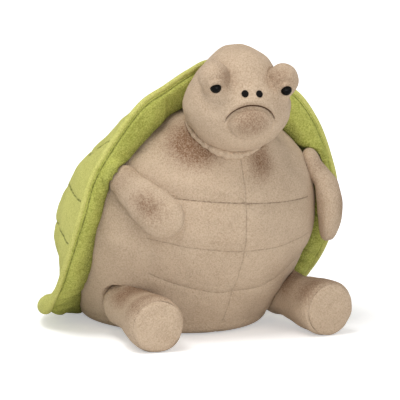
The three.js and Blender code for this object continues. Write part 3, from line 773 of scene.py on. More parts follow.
def off_body(points):
    """How far points are outside the body's form, along the level, and the way out."""
    x, y = points[..., 0], points[..., 1] - SHIFT
    width, front, back, middle = ring_at(points[..., 2])
    away = np.stack([x, y - middle, np.zeros_like(x)], -1)
    depth = np.where(away[..., 1] < 0, front, back)
    share = np.hypot(x / np.maximum(width, 1), away[..., 1] / np.maximum(depth, 1))
    reach = np.linalg.norm(away, axis=-1)
    gap = reach - reach / np.maximum(share, TINY)
    return gap, away / np.maximum(reach, TINY)[..., None]


def limb_frame(place, along, axis):
    along = unit(along)
    x = unit(np.cross(axis, along))
    return place, np.stack([x, unit(np.cross(along, x)), along], 1)


def arm_frame(end):
    side = SIDES[end]
    across = np.array([side * math.cos(ARM_FACE_TURN), -math.sin(ARM_FACE_TURN), 0])
    axis = across * math.cos(ARM_FACE_TILT) + [0, 0, math.sin(ARM_FACE_TILT)]
    forward = np.array([-side * math.sin(ARM_FACE_TURN), -math.cos(ARM_FACE_TURN), 0])
    down = np.cross(forward, axis) * -side
    along = down * math.cos(ARM_FORWARD[end]) + forward * math.sin(ARM_FORWARD[end])
    return limb_frame(PIVOT[f"arm_{end}_swing"], along, axis)


def leg_frame(end):
    splay = LEG_SPLAY[end]
    along = np.array([SIDES[end] * math.sin(splay), -math.cos(splay), -math.tan(LEG_DIP)])
    return limb_frame(PIVOT[f"leg_{end}_splay"], along, np.array([0, 0, 1]))


def sunk(grid, normals, centre, axes, sizes, spread, near):
    """A skin pressed in round a ball that sits in it, with a soft dip round its edge."""
    local = ((grid - centre) @ axes) / sizes
    way = -(normals @ axes) / sizes
    aa = (way**2).sum(-1)
    half = (local * way).sum(-1)
    miss = (local**2).sum(-1) - half**2 / aa
    deep = -half / aa + np.sqrt(np.maximum(1 - miss, 0) / aa)
    soft = 1 - ease(np.sqrt(np.maximum(miss, 0)), 1, spread)
    push = np.where((np.linalg.norm(local, axis=-1) < near) & (deep > 0), deep * soft, 0)
    return grid - normals * push[..., None]


def make_body():
    turn = turns(BODY_COLUMNS)
    z, width, front, back, middle = (body_rows[:, k][:, None] for k in range(5))
    depth = np.where(np.sin(turn) < 0, front, back)
    grid = stacked(width * np.cos(turn), middle + depth * np.sin(turn) + SHIFT, z)
    normals = outward(grid, BODY_MIDDLE)
    x, y, z = grid[..., 0], grid[..., 1] - SHIFT, grid[..., 2]
    belly = ease(-y, *BELLY_FRONT)
    press = uneven(grid, BODY_LUMPS)
    press *= ease(z, *SEAT_FADE) * (1 - ease(y, *REAR_FADE) * (1 - ease(z, *REAR_LOW)))
    seam = np.full_like(z, NO_SEAM)
    mark = np.full_like(z, PLAIN_MARK)
    for height, slope, bow, reach, dark in BELLY_ROWS:
        away = z - (height + slope * x + bow * x * x)
        shown = belly * (1 - ease(np.abs(x), *(reach + ROW_FADE)))
        press -= shown * dent(away, BELLY_GROOVE)
        press += shown * dent(np.abs(away) - BELLY_PUFF_OUT, BELLY_PUFF)
        near = (np.abs(away) < ROW_NEAR) & (shown > ROW_SHOWN)
        seam = np.where(near, away, seam)
        mark = np.where(near, dark, mark)
    press -= belly * dent(x, BELLY_GROOVE)
    others = [
        (x, CENTRE_MARK, (y < 0) & (z > BASE_SEAM)),
        (y - SIDE_SEAM, SIDE_MARK, z > SEAT_EDGE),
        (z - BASE_SEAM, BASE_MARK, z > SEAT_EDGE),
    ]
    for away, dark, there in others:
        nearer = (np.abs(away) < np.abs(seam)) & there
        seam = np.where(nearer, away, seam)
        mark = np.where(nearer, dark, mark)
    press -= dent(y - SIDE_SEAM, SIDE_GROOVE) * ease(z, *SIDE_FADE) + dent(z - BASE_SEAM, BASE_GROOVE)
    grid = grid + normals * press[..., None]
    grid[..., 2] = np.maximum(grid[..., 2], 0)
    for end in SIDES:
        for (place, axes), (wide, thick) in ((arm_frame(end), ARM_ROOT), (leg_frame(end), LEG_ROOT)):
            sizes = np.array([wide, thick, wide]) + SKIN_GAP
            grid = sunk(grid, normals, place, axes, sizes, *SOCKET_DIP)
    grid = sunk(grid, normals, PIVOT["head_turn"], np.eye(3), BOWL_SIZES, *BOWL_DIP)
    grid[..., 2] = np.maximum(grid[..., 2], 0)
    # Chest patches: airbrushed brown together with painted shade under the head
    patch = sum(
        strength * spot(grid, np.add(place, (0, SHIFT, 0)), reach, 3)
        for place, reach, strength in CHEST_SPRAY_AND_SHADE
    )
    masks = {"seam": seam, "mark": mark, "patch": np.clip(patch, 0, 1)}
    behind = y > SIDE_SEAM
    base = z < BASE_SEAM
    kinds = [
        ("belly_left_skin", ~base & ~behind & (x >= 0), "belly_panel_left"),
        ("belly_right_skin", ~base & ~behind & (x < 0), "belly_panel_right"),
        ("back_skin", ~base & behind, "back_panel", "body_stuffing"),
        ("base_skin", base, "base_panel", "pellet_pouch"),
    ]
    for name, keep, *nodes in kinds:
        piece(name, grid, normals, beige, "body", "beige_plush", nodes, BODY_FILL, keep=keep, **masks)


# Head form

head_axes = np.array(Matrix.Rotation(HEAD_TILT, 3, "Y") @ Matrix.Rotation(HEAD_TURN, 3, "Z"))
head_rows = smoothed(
    [[tip * (HEAD_BELOW if tip < 0 else HEAD_ABOVE), width * HEAD_WIDTH, front * HEAD_FRONT,
      back * HEAD_BACK] for tip, width, front, back in HEAD_ROWS],
    HEAD_TABLE_STEPS,
)


def from_head(points):
    return points @ head_axes.T + PIVOT["head_turn"]


def inside_head(points):
    """Whether points are inside the head's plain form."""
    x, y, z = (points[..., k] for k in range(3))
    width, front, back = (np.interp(z, head_rows[:, 0], head_rows[:, k]) for k in (1, 2, 3))
    depth = np.where(y < 0, front, back)
    flat = (x / np.maximum(width, TINY)) ** 2 + (y / np.maximum(depth, TINY)) ** 2
    return (flat < 1) & (z <= HEAD_ABOVE) & (z >= -HEAD_BELOW)


def head_radius(ways):
    low, high = (np.full(ways.shape[:-1], end) for end in HEAD_SPAN)
    for _ in range(HALVINGS):
        tried = (low + high) / 2
        inside = inside_head(ways * tried[..., None])
        low, high = np.where(inside, tried, low), np.where(inside, high, tried)
    return low


def soft_least(a, b, width):
    h = np.clip(0.5 + 0.5 * (b - a) / width, 0, 1)
    return b * (1 - h) + a * h - width * h * (1 - h)


def eye_way(side):
    return np.array([
        side * math.sin(EYE_OUT) * math.cos(EYE_DOWN),
        -math.cos(EYE_OUT) * math.cos(EYE_DOWN),
        -math.sin(EYE_DOWN),
    ])


def mouth_line(across):
    """Heights of the mouth's arch, across the face from -1 to 1."""
    full = 1 - math.sqrt(1 - MOUTH_BOW)
    return MOUTH_TOP - MOUTH_DROP * (1 - np.sqrt(1 - MOUTH_BOW * np.clip(across, -1, 1) ** 2)) / full


def head_fields(points, plain):
    """Distances to the plain head, each brow and the chin."""
    fields = [np.linalg.norm(points, axis=-1) - plain]
    for side in (1, -1):
        fields.append(np.linalg.norm(points - BROW_PLACES[side], axis=-1) - BROW_RADIUS)
    local = (points - CHIN_PLACE) / CHIN_SIZES
    k0, k1 = np.linalg.norm(local, axis=-1), np.linalg.norm(local / CHIN_SIZES, axis=-1)
    fields.append(k0 * (k0 - 1) / np.maximum(k1, 1e-6))
    return fields


def make_head():
    turn = turns(HEAD_COLUMNS)
    tip = np.linspace(-math.pi / 2, math.pi / 2, HEAD_STEPS)[:, None]
    ways = stacked(np.cos(tip) * np.cos(turn), np.cos(tip) * np.sin(turn), np.sin(tip))
    plain = head_radius(ways)
    reach = np.full(plain.shape, MARCH_START)
    for _ in range(MARCH_ROUNDS):
        points = ways * reach[..., None]
        joined, *brows, chin = head_fields(points, plain)
        for side, brow in zip(SIDES.values(), brows):
            low = 1 - ease(points[..., 2] - BROW_PLACES[side][2], *BROW_LOW)
            joined = soft_least(joined, brow, BROW_BLEND + BROW_LOW_BLEND * low)
        reach -= MARCH_SHARE * soft_least(joined, chin, CHIN_BLEND)
    grid = ways * reach[..., None]
    fields = head_fields(grid, plain)
    normals = outward(grid, 0)
    x, y, z = grid[..., 0], grid[..., 1], grid[..., 2]
    front = ease(-y, *FACE_FRONT)
    press = uneven(grid, HEAD_LUMPS)
    press -= ease(-z, *HEAD_UNDER) * (np.maximum(press, 0) + HEAD_UNDER_PRESS)
    across = x / MOUTH_WIDTH
    away = z - mouth_line(across)
    fold = front * (1 - ease(np.abs(across), *MOUTH_FADE))
    press += fold * (dent(away - LIP_UP, LIP_PUFF) - dent(away, MOUTH_GROOVE))
    above = [ease(z - BROW_PLACES[side][2], *CREASE_FADE) for side in SIDES.values()] + [1]
    for bump, crease, where in zip(fields[1:], CREASES, above):
        press -= where * front * dent(fields[0] - bump, crease)
    for side in SIDES.values():
        way = eye_way(side)
        seat = grid - (BROW_PLACES[side] + way * EYE_SINK)
        rise = (seat @ way)[..., None] * way
        ring = np.linalg.norm(seat - rise, axis=-1)
        close = (seat @ way) > EYE_CLOSE
        press -= EYE_HOLE * close * bell(ring, EYE_RADIUS + EYE_ROOM, 4)
        lid = close * ease((seat - rise)[..., 2], *LID_FADE)
        ring -= EYE_RADIUS
        press += lid * (dent(ring - LID_OUT, LID_PUFF) - dent(ring - LID_CREASE_OUT, LID_CREASE))
    grid = grid + normals * press[..., None]
    place, reach, strength = BROW_SHADE
    shade = sum(spot(grid, BROW_PLACES[side] + place * [side, 1, 1], reach) for side in SIDES.values())
    shade *= strength
    place, reach, strength = CHIN_SHADE
    shade += strength * spot(grid, CHIN_PLACE + place, reach, 4)
    masks = {"patch": np.clip(shade, 0, 1), "seam": np.where(fold > 0.5, away, NO_SEAM)}
    nearest = np.argmin(fields, axis=0)
    whole = from_head(grid)
    turned = normals @ head_axes.T
    kinds = [
        ("head_skin", "head_cover", "head_stuffing"),
        ("brow_left_skin", "brow_left"),
        ("brow_right_skin", "brow_right"),
        ("chin_skin", "chin_pad"),
    ]
    for kind, (name, *nodes) in enumerate(kinds):
        piece(name, whole, turned, beige, "head", "beige_plush", nodes, BODY_FILL,
              keep=nearest == kind, **masks)
    return grid


def lathe(profile, columns):
    """A turned form about local Z, from (radius, height) pairs."""
    turn = turns(columns)
    radius, height = profile[:, :1], profile[:, 1:]
    return stacked(radius * np.cos(turn), radius * np.sin(turn), height)


def button(name, profile, columns, way, place, material, slot, node):
    """A small turned form set on the head, facing the way given."""
    axes = np.array(Vector(way).to_track_quat("Z", "Y").to_matrix())
    grid = from_head(lathe(profile, columns) @ axes.T + place)
    piece(name, grid, outward(grid), material, "head", slot, [node])


def make_face(grid):
    tip = np.linspace(0, math.pi, CAP_STEPS)
    arc = np.stack([np.sin(tip), np.cos(tip)], 1)
    front = grid[..., 1] < 0
    for end, side in SIDES.items():
        way = eye_way(side)
        place = BROW_PLACES[side] + way * EYE_SINK
        button(f"eye_{end}_dome", arc * EYE_RADIUS, EYE_COLUMNS, way, place, eye_black, "eye_plastic",
               f"eye_{end}")
        near = np.linalg.norm(grid[..., [0, 2]] - [side * NOSTRIL_ASIDE, NOSTRIL_UP], axis=-1)
        place = at_least(grid, np.where(front, near, FAR))
        button(f"nostril_{end}_stitch", arc * [NOSTRIL_RADIUS, NOSTRIL_BULGE], NOSTRIL_COLUMNS,
               unit(place), place, black_thread, "black_thread", f"nostril_{end}")
    across = np.linspace(-MOUTH_SHARE, MOUTH_SHARE, MOUTH_STEPS)
    line = np.stack([across * MOUTH_WIDTH, np.zeros_like(across), mouth_line(across)], 1)
    for point in line:
        near = np.hypot(grid[..., 0] - point[0], grid[..., 2] - point[2])
        point[1] = at_least(grid, np.where(front, near, FAR))[1]
    line[:, 1] = averaged(line[:, 1], MOUTH_SMOOTH, "edge") - MOUTH_PROUD
    tube("mouth_fold", from_head(line), MOUTH_THREAD, brown_thread, "head", "brown_thread",
         ["mouth_thread"], wobble=1 - MOUTH_TAPER * across**4)


def tube(name, line, radius, material, body, slot, nodes=(), closed=False, sides=TUBE_SIDES,
         wobble=1, fill=None):
    """A round cord along a line, with tapered ends unless it is closed."""
    if closed:
        along = unit(np.roll(line, -1, axis=0) - np.roll(line, 1, axis=0))
        share = np.ones(len(line)) * wobble
    else:
        along = unit(np.gradient(line, axis=0))
        share = np.sqrt(np.clip(1 - np.linspace(-1, 1, len(line)) ** TAPER_POWER, 0, 1)) * wobble
    up = unit(np.cross(along, line - line.mean(0)))[:, None]
    side = np.cross(along[:, None], up)
    turn = turns(sides)[None, :, None]
    ring = np.cos(turn) * up + np.sin(turn) * side
    grid = line[:, None] + ring * (radius * share)[:, None, None]
    if closed:
        grid = np.concatenate([grid, grid[:1]])
        ring = np.concatenate([ring, ring[:1]])
    piece(name, grid, ring, material, body, slot, nodes, fill)


def downward(angle, turn):
    """Ways out of a ball, by their angle from straight down and their turn."""
    return stacked(np.sin(angle) * np.cos(turn), np.sin(angle) * np.sin(turn), -np.cos(angle))


def make_collar():
    """The neck: a bowl of cloth under the head with a soft rolled edge."""
    spread = np.linspace(COLLAR_START, 1, COLLAR_STEPS)[:, None] * COLLAR_SPREAD
    edge = ease(spread, COLLAR_EDGE * COLLAR_SPREAD, COLLAR_SPREAD)
    turn = turns(COLLAR_COLUMNS)
    roll = COLLAR_ROLL * (1 + COLLAR_GATHER_SHARE * np.sin(COLLAR_GATHERS * turn) * edge) * edge
    outer = COLLAR_RADIUS + COLLAR_THICKNESS + roll
    radius = np.concatenate([np.full_like(outer, COLLAR_RADIUS), outer[::-1]])
    lean = np.array(Matrix.Rotation(COLLAR_LEAN, 3, "X"))
    grid = radius[..., None] * downward(np.concatenate([spread, spread[::-1]]), turn) @ lean.T
    grid = grid * [1, 1, COLLAR_DEPTH / COLLAR_RADIUS] + PIVOT["head_turn"]
    # The collar's faces look into the cloth. Without the minus sign they look out of it
    piece("neck_collar_skin", grid, -outward(grid, PIVOT["head_turn"]), beige, "neck", "beige_plush",
          ["neck_collar"], COLLAR_FILL)
    make_throat(lean)


def make_throat(lean):
    """A gathered fold under the head, along the edge of the body's bowl, fullest below the chin."""
    turn = turns(THROAT_COLUMNS)
    angles = np.radians(np.arange(*THROAT_ANGLES))[:, None]
    ways = downward(angles, turn) @ lean.T
    bowl = 1 / np.linalg.norm(ways / BOWL_SIZES, axis=-1)
    gap, _ = off_body(ways * bowl[..., None] + PIVOT["head_turn"])
    within = gap < THROAT_SINK
    last = np.where(within.any(0), len(angles) - 1 - np.argmax(within[::-1], axis=0), 0)
    front = np.clip(-np.sin(turn + FOLD_TURN), 0, 1) ** THROAT_FRONT_POWER
    index = np.round(averaged(last, THROAT_SMOOTH, "wrap") + THROAT_DROP * front)
    index = np.clip(index, 0, len(angles) - 1).astype(int), np.arange(len(turn))
    ways, bowl = ways[index], bowl[index]
    inner = head_radius(ways @ head_axes) - THROAT_SINK_IN
    outer = np.maximum(bowl, inner + THROAT_LEAST) + THROAT_PROUD
    thick = (outer - inner) / 2 * (1 + THROAT_FULL * front)
    folds = 1 + sum(share * np.sin(count * turn + start) for count, share, start in THROAT_GATHERS)
    middle = ways * (inner + thick)[:, None] + PIVOT["head_turn"]
    shown = np.arange(*FOLD_SPAN) % len(turn)
    tube("throat_fold", middle[shown], 1, beige, "head", "beige_plush", sides=THROAT_SIDES,
         wobble=(thick * folds)[shown], fill=FOLD_FILL)


# Limbs

def limb_rows(root, rows, sizes):
    """A limb's table in millimetres, with the ball at its root before the first row."""
    radius, thick = root
    start = [[-radius * math.cos(t), radius * math.sin(t), thick * math.sin(t), 0]
             for t in np.linspace(0, math.pi / 2, ROOT_STEPS)[:-1]]
    return start + [list(np.array(row) * sizes) for row in rows]


def limb_grid(rows, steps, place, axes, round_ends=(True, True)):
    table = smoothed(rows, steps, round_ends)
    table[:, 1:3] = np.maximum(table[:, 1:3], 0)
    turn = turns(LIMB_COLUMNS)
    along, wide, thick, lift = (table[:, k][:, None] for k in range(4))
    local = stacked(wide * np.cos(turn), lift + thick * np.sin(turn), along)
    return local, table, turn, local @ axes.T + place


def clear_of_body(grid, place, root):
    """Limb points pressed off the body, apart from the root that sits in its socket."""
    gap, way = off_body(grid)
    free = ease(np.linalg.norm(grid - place, axis=-1), root, root + ROOT_FREE)
    over = (SKIN_GAP + PRESS_GAP - gap) / PRESS_SOFT
    push = PRESS_SOFT * np.log1p(np.exp(np.clip(over, *PRESS_LIMITS)))
    return grid + way * (free * push)[..., None]


def make_arm(end):
    place, axes = arm_frame(end)
    rows = limb_rows(ARM_ROOT, ARM_ROWS, ARM_SIZES)
    local, table, turn, grid = limb_grid(rows, ARM_STEPS, place, axes)
    normals = outward(grid)
    thick = np.maximum(table[:, 2], 1)[:, None]
    groove = dent(np.abs(np.sin(turn)) * thick, ARM_GROOVE) * ease(table[:, :1], *ARM_GROOVE_FADE)
    grid = grid + normals * (uneven(grid, ARM_LUMPS) - groove)[..., None]
    grid = clear_of_body(grid, place, max(ARM_ROOT))
    along = local[..., 2] / ARM_SIZES[0]
    at, reach, wide, strength = ARM_PATCH
    away = ((along - at) / reach) ** 2 + (local[..., 0] / wide) ** 2 + uneven(grid, ARM_PATCH_LUMPS)
    patch = strength * np.exp(-np.maximum(away, 0)) * ease(local[..., 1], *ARM_PATCH_FADE)
    # Painted shade round the root, under the band's edge
    at, reach, strength = ARM_ROOT_PAINTED_SHADE
    patch += strength * bell(along - at, reach)
    beside = np.cos(turn) + (np.sin(turn) < 0) * UNSEEN_SIDE if end == "left" else np.sin(turn)
    seam = np.where(along > ARM_SEAM_FROM, beside * thick, NO_SEAM)
    piece(f"arm_{end}_skin", grid, normals, beige, f"arm_{end}", "beige_plush",
          [f"arm_{end}_cover", f"arm_{end}_stuffing"], LIMB_FILL, seam=seam, mark=ARM_SEAM_MARK[end],
          patch=np.clip(patch, 0, 1))


def make_leg(end):
    place, axes = leg_frame(end)
    rows = limb_rows(LEG_ROOT, LEG_ROWS, LEG_SIZES)
    local, _, turn, grid = limb_grid(rows, LEG_STEPS, place, axes, (True, False))
    normals = outward(grid)
    seam_at = LEG_SIZES[0] * LEG_ROWS[-1][0]
    seam = local[..., 2] - seam_at
    grid = grid + normals * (uneven(grid, LEG_LUMPS) - dent(seam, SOLE_GROOVE))[..., None]
    grid = clear_of_body(grid, place, max(LEG_ROOT))
    grid[..., 2] = np.maximum(grid[..., 2], FLOOR_GAP)
    along = local[..., 2] / LEG_SIZES[0]
    patch = sum(strength * bell(along - at, reach) for at, reach, strength in LEG_PATCHES)
    patch = np.clip(patch * ease(np.sin(turn), *LEG_PATCH_FADE), 0, 1)
    piece(f"leg_{end}_skin", grid, normals, beige, f"leg_{end}", "beige_plush",
          [f"leg_{end}_cover", f"leg_{end}_stuffing"], LIMB_FILL, seam=seam, patch=patch)
    rows = [[seam_at + rise * SOLE_BULGE] + [radius * LEG_SIZES[1] - SOLE_INSET * (rise == 0)] * 2
            for rise, radius in SOLE_ROWS]
    table = smoothed(rows, SOLE_STEPS, (False, True))
    sole = lathe(np.stack([np.maximum(table[:, 1], 0), table[:, 0]], 1), LIMB_COLUMNS)
    sole = sole @ axes.T + place
    out = outward(sole, place)
    sole = sole + out * uneven(sole, SOLE_LUMPS)[..., None]
    sole[..., 2] = np.maximum(sole[..., 2], FLOOR_GAP)
    ring = np.linalg.norm((sole - place) @ axes[:, :2], axis=-1)
    piece(f"leg_{end}_sole_skin", sole, out, beige, f"leg_{end}", "beige_plush", [f"leg_{end}_sole"],
          SOLE_FILL, seam=ring - LEG_SIZES[1] * SOLE_SEAM)


# Shell

REAR = max(back * BODY_SIZES[3] + lean * BODY_SIZES[4] for *_, back, lean in BODY_ROWS)
RIM_LENGTH = REAR - RIM_FRONT + RIM_REAR_REACH


def rim_curve(count):
    """Points of the rim at even steps, from its top down the turtle's left side and up its right."""
    side = np.array(RIM_ROWS)
    shares = np.concatenate([side, side[-2:0:-1] * [-1, 1, 1]])
    points = shares * [RIM_WIDTH, RIM_LENGTH, RIM_TOP - RIM_FOOT] + [0, RIM_FRONT, RIM_FOOT]
    n = len(points)
    t = np.arange(RIM_FINE * n) / RIM_FINE
    i = t.astype(int)
    u = (t - i)[:, None]
    a, b, c, d = (points[(i + k) % n] for k in (-1, 0, 1, 2))
    fine = 2 * b + (c - a) * u + (2 * a - 5 * b + 4 * c - d) * u**2
    fine = (fine + (3 * b - a - 3 * c + d) * u**3) / 2
    closed = np.concatenate([fine, fine[:1]])
    at = np.concatenate([[0], np.cumsum(np.linalg.norm(np.diff(closed, axis=0), axis=1))])
    even = np.linspace(0, at[-1], count, endpoint=False)
    profile = fine[: RIM_FINE * RIM_SIDE_POINTS + 1][::-1]
    return np.stack([np.interp(even, at, closed[:, k]) for k in range(3)], 1), profile


def dome_point(edge, share, profile):
    x = edge[..., 0] * share
    z = DOME_MIDDLE + (edge[..., 2] - DOME_MIDDLE) * share
    width, front = (np.interp(z, profile[:, 2], profile[:, k]) for k in (0, 1))
    rise = (z - RIM_FOOT) / (RIM_TOP - RIM_FOOT)
    heights, rears, fulls = np.array(DOME_ROWS).T
    rear = np.interp(rise, heights, rears) * RIM_LENGTH + RIM_FRONT
    full = np.interp(rise, heights, fulls)
    beside = np.clip(np.abs(x) / np.maximum(width, TINY), 0, 1)
    return np.stack([x, front + (rear - front) * (1 - beside**2) ** (1 / full), z], -1)


def scute_seams():
    """Seams as pairs of points seen from behind: a zigzag each side of the spine, and rungs across."""
    heights = [RIM_FOOT - SCUTE_PAST] + SCUTE_HEIGHTS + [RIM_TOP + SCUTE_PAST]
    between = [(a + b) / 2 for a, b in zip(heights, heights[1:])]
    lines = [((-SCUTE_NARROW, height), (SCUTE_NARROW, height)) for height in between[1:-1]]
    for side in SIDES.values():
        narrow = [(side * SCUTE_NARROW, height) for height in [heights[0]] + between]
        wide = [(side * SCUTE_WIDE, height) for height in SCUTE_HEIGHTS]
        lines.append((narrow[0], narrow[1]))
        lines += list(zip(narrow[1:], wide)) + list(zip(wide, narrow[2:]))
    return np.array(lines, float)


def edge_seams(grid, edge):
    """Distance from the seams that run in from the rim, and lines from their ends to the zigzag."""
    run = np.linalg.norm(np.diff(grid, axis=0), axis=-1)
    inwards = np.concatenate([np.cumsum(run[::-1], axis=0)[::-1], np.zeros((1, len(edge)))])
    best = np.full(inwards.shape, FAR)
    lines = []
    for start, slope, length, corner in EDGE_SEAMS:
        away = np.abs(grid[..., 2] - start - slope * inwards) / math.hypot(1, slope)
        best = np.minimum(best, np.where(inwards < length, away, FAR))
        for side in SIDES.values():
            x, _, z = at_least(grid, away + np.abs(inwards - length) + FAR * (grid[..., 0] * side < 0))
            lines.append(((x, z), (side * SCUTE_WIDE, SCUTE_HEIGHTS[corner])))
    return best, np.array(lines, float)


def seam_distance(points, lines):
    best = np.full(points.shape[:-1], FAR)
    for start, end in lines:
        way = end - start
        share = np.clip(((points - start) @ way) / (way @ way), 0, 1)
        best = np.minimum(best, np.linalg.norm(points - start - share[..., None] * way, axis=-1))
    return best


def blurred(grid, rounds):
    """Rows eased into each other, with the first and last kept."""
    for _ in range(rounds):
        inner = (grid[:-2] + grid[2:] + np.roll(grid, 1, 1)[1:-1] + np.roll(grid, -1, 1)[1:-1]) / 4
        grid = np.concatenate([grid[:1], 0.5 * grid[1:-1] + 0.5 * inner, grid[-1:]])
    return grid


def make_shell():
    edge, profile = rim_curve(DOME_COLUMNS)
    share = np.sin(np.linspace(0, math.pi / 2, DOME_STEPS)[:, None])
    grid = dome_point(edge[None], share, profile)
    grid[-1] = edge
    grid = blurred(grid, DOME_BLURS)
    normals = outward(grid, DOME_CENTRE)
    near_rim, lines = edge_seams(grid, edge)
    lines = np.concatenate([scute_seams(), lines])
    away = np.minimum(near_rim, seam_distance(grid[..., [0, 2]], lines))
    press = QUILT_PUFF * (1 - np.exp(-away / QUILT_SOFT)) - dent(away, QUILT_GROOVE) - QUILT_SINK
    press = (press + uneven(grid, DOME_LUMPS)) * ease(1 - share, 0, RIM_SHARE)
    grid = grid + normals * press[..., None] + [0, SHIFT, 0]
    gap, _ = off_body(grid)
    push = np.clip(DOME_CLEAR - gap, 0, DOME_CLEAR * 2) * (share < DOME_CLEAR_SHARE)
    grid += normals * push[..., None]
    piece("shell_dome", grid, normals, green, "body", "green_plush", ["shell_cover", "shell_padding"],
          SHELL_FILL, seam=np.where(share < DOME_SEAM_END, DOME_SEAM_SHARE * away, NO_SEAM),
          mark=DOME_SEAM_MARK)
    corner = bell(edge[:, 2] - RIM_FOOT, CORNER_HEIGHT) * ease(np.abs(edge[:, 0]), *CORNER_ASIDE)
    gathers = CORNER_GATHER * np.sin(np.arange(len(edge)) * 2 * math.pi / CORNER_GATHER_STEPS)
    tube("shell_piping", edge + [0, SHIFT, 0], PIPING_RADIUS, green, "body", "green_plush", closed=True,
         sides=PIPING_SIDES, wobble=1 + corner * (CORNER_PUFF + gathers))
    make_band(edge)


def root_lap(ends):
    """How far each end of the band goes on over an arm's root, and how much it laps it."""
    onto = np.zeros_like(ends)
    lapped = np.zeros(len(ends))
    for end in SIDES:
        place, axes = arm_frame(end)
        local = (ends - place) @ axes
        away = np.hypot(local[:, 0], local[:, 2])
        share = (1 - ease(away, *LAP_REACH)) * (np.linalg.norm(local, axis=1) < LAP_NEAR)
        goal = local * [1, 0, 1] * np.minimum(LAP_RADIUS / away, 1)[:, None] + [0, ARM_ROOT[1], 0]
        onto += ((goal - local) * share[:, None]) @ axes.T
        lapped = np.maximum(lapped, share)
    return onto, lapped


def over_roots(grid, bridged=None):
    """Band points held over the arm roots, or bridged by a share from the roots to the rim."""
    for end in SIDES:
        place, axes = arm_frame(end)
        local = (grid - place) @ axes
        away = np.hypot(local[..., 0], local[..., 2])
        if bridged is None:
            height = ARM_ROOT[1] * np.sqrt(np.clip(1 - (away / ARM_ROOT[0]) ** 2, 0, 1)) + SKIN_GAP
            share = away < ARM_ROOT[0] + 1
        else:
            slope = (LAP_RIM[1] - LAP_RIM[2]) / (LAP_RIM[0] - LAP_RADIUS)
            height = LAP_RIM[2] + slope * np.clip(away - LAP_RADIUS, 0, None)
            share = (1 - ease(away, LAP_REACH[0] - BRIDGE_INSET, LAP_REACH[1])) * bridged
        share = share * (np.abs(local[..., 1]) < BRIDGE_BESIDE)
        grid = grid + (np.maximum(height - local[..., 1], 0) * share)[..., None] * axes[:, 1]
    return grid


def make_band(edge):
    """The rolled band under the rim, from the piping in to the body's skin."""
    place = (edge[:, 1] - RIM_FRONT) / RIM_LENGTH
    under = ease(place, *BAND_TURN)[:, None]
    inward = unit(([0, 0, DOME_MIDDLE] - edge) * [1, 0, 1])
    inward[:, 1] = BAND_BACK * ease((edge[:, 2] - RIM_FOOT) / (RIM_TOP - RIM_FOOT), *BAND_BACK_HEIGHTS)
    forward = unit(([0, BODY_SIZES[4], 0] - edge) * [1, 1, 0])
    way = unit(inward * (1 - under) + forward * under)
    puff = unit(np.concatenate([np.zeros_like(under), under - 1, -under], 1))
    turned = np.linspace(0, 1, BAND_FINE)[:, None]
    rise = LIP * (1 - np.exp(-turned * BAND_WIDTH / LIP_CURVE))
    rise = rise + BAND_PUFF * np.sin(math.pi * turned).clip(0) ** BAND_PUFF_POWER
    fine = edge + way * (turned * BAND_REACH * BAND_WIDTH)[..., None] + puff * rise[..., None]
    within = off_body(fine + [0, SHIFT, 0])[0] < -BAND_SINK
    entered = np.where(within.any(0), np.argmax(within, axis=0), BAND_FINE - 1)
    columns = np.arange(len(edge))
    ends = fine[entered, columns]
    onto, lapped = root_lap(ends + [0, SHIFT, 0])
    pace = np.linalg.norm(fine[1] - fine[0], axis=-1)
    more = np.linalg.norm(onto, axis=-1)
    step = np.linspace(0, 1, BAND_STEPS)[:, None]
    rows = step * (entered + more / pace)
    low = np.clip(rows.astype(int), 0, BAND_FINE - 2)
    part = (rows - low)[..., None]
    grid = fine[low, columns] * (1 - part) + fine[low + 1, columns] * part
    beyond = np.clip(rows - entered, 0, None) * pace / np.maximum(more, TINY)
    grid = np.where((rows > entered)[..., None], ends + beyond[..., None] * onto, grid)
    bridged = 1 - (1 - lapped**2) * ease(step, *BRIDGE_FADE)
    grid = over_roots(blurred(grid, BAND_BLURS[0]) + [0, SHIFT, 0], bridged) - [0, SHIFT, 0]
    grid = blurred(grid, BAND_BLURS[1])
    normals = grid_normals(grid)
    normals *= np.sign((normals * puff).sum())
    middle = np.sin(math.pi * step).clip(0)
    run = np.linalg.norm(np.diff(grid, axis=0, prepend=grid[:1]), axis=-1)
    seam = np.cumsum(run, axis=0) - TOPSTITCH
    press = uneven(grid, BAND_LUMPS) * middle + ROLL * middle**ROLL_POWER
    press -= ROLL_IN * ease(step, *ROLL_IN_FADE) + dent(seam, TOPSTITCH_GROOVE)
    at, reach, height, steps = BAND_GATHERS
    press += height * bell(place - at, reach) * middle * np.sin(columns * 2 * math.pi / steps)
    grid = over_roots(grid + normals * press[..., None] + [0, SHIFT, 0])
    # Painted shade, growing across the band to its inner edge against the body
    begins = np.where(edge[:, 2] < DOME_MIDDLE, *BAND_PAINTED_SHADE_FROM[::-1])
    patch = BAND_PAINTED_SHADE * ease(step, begins, 1) * (1 - BAND_PAINTED_SHADE_LAP * lapped)
    piece("shell_band", grid, normals, shaded_green_band, "body", "green_underside", ["shell_underside"],
          SHELL_FILL, seam=seam, patch=patch)


# What the covers hold stays as it is, in its own cloth

def inner_material(name, light, dark, size):
    material, tree, shader = new_material(name, INNER_FINISH)
    fluff = noise(tree, position(tree), size, 3)
    tree.links.new(mix(tree, remap(tree, fluff, *INNER_SPAN), dark, light), shader.inputs["Base Color"])
    bumped(tree, shader, fluff, INNER_BUMP)
    return material


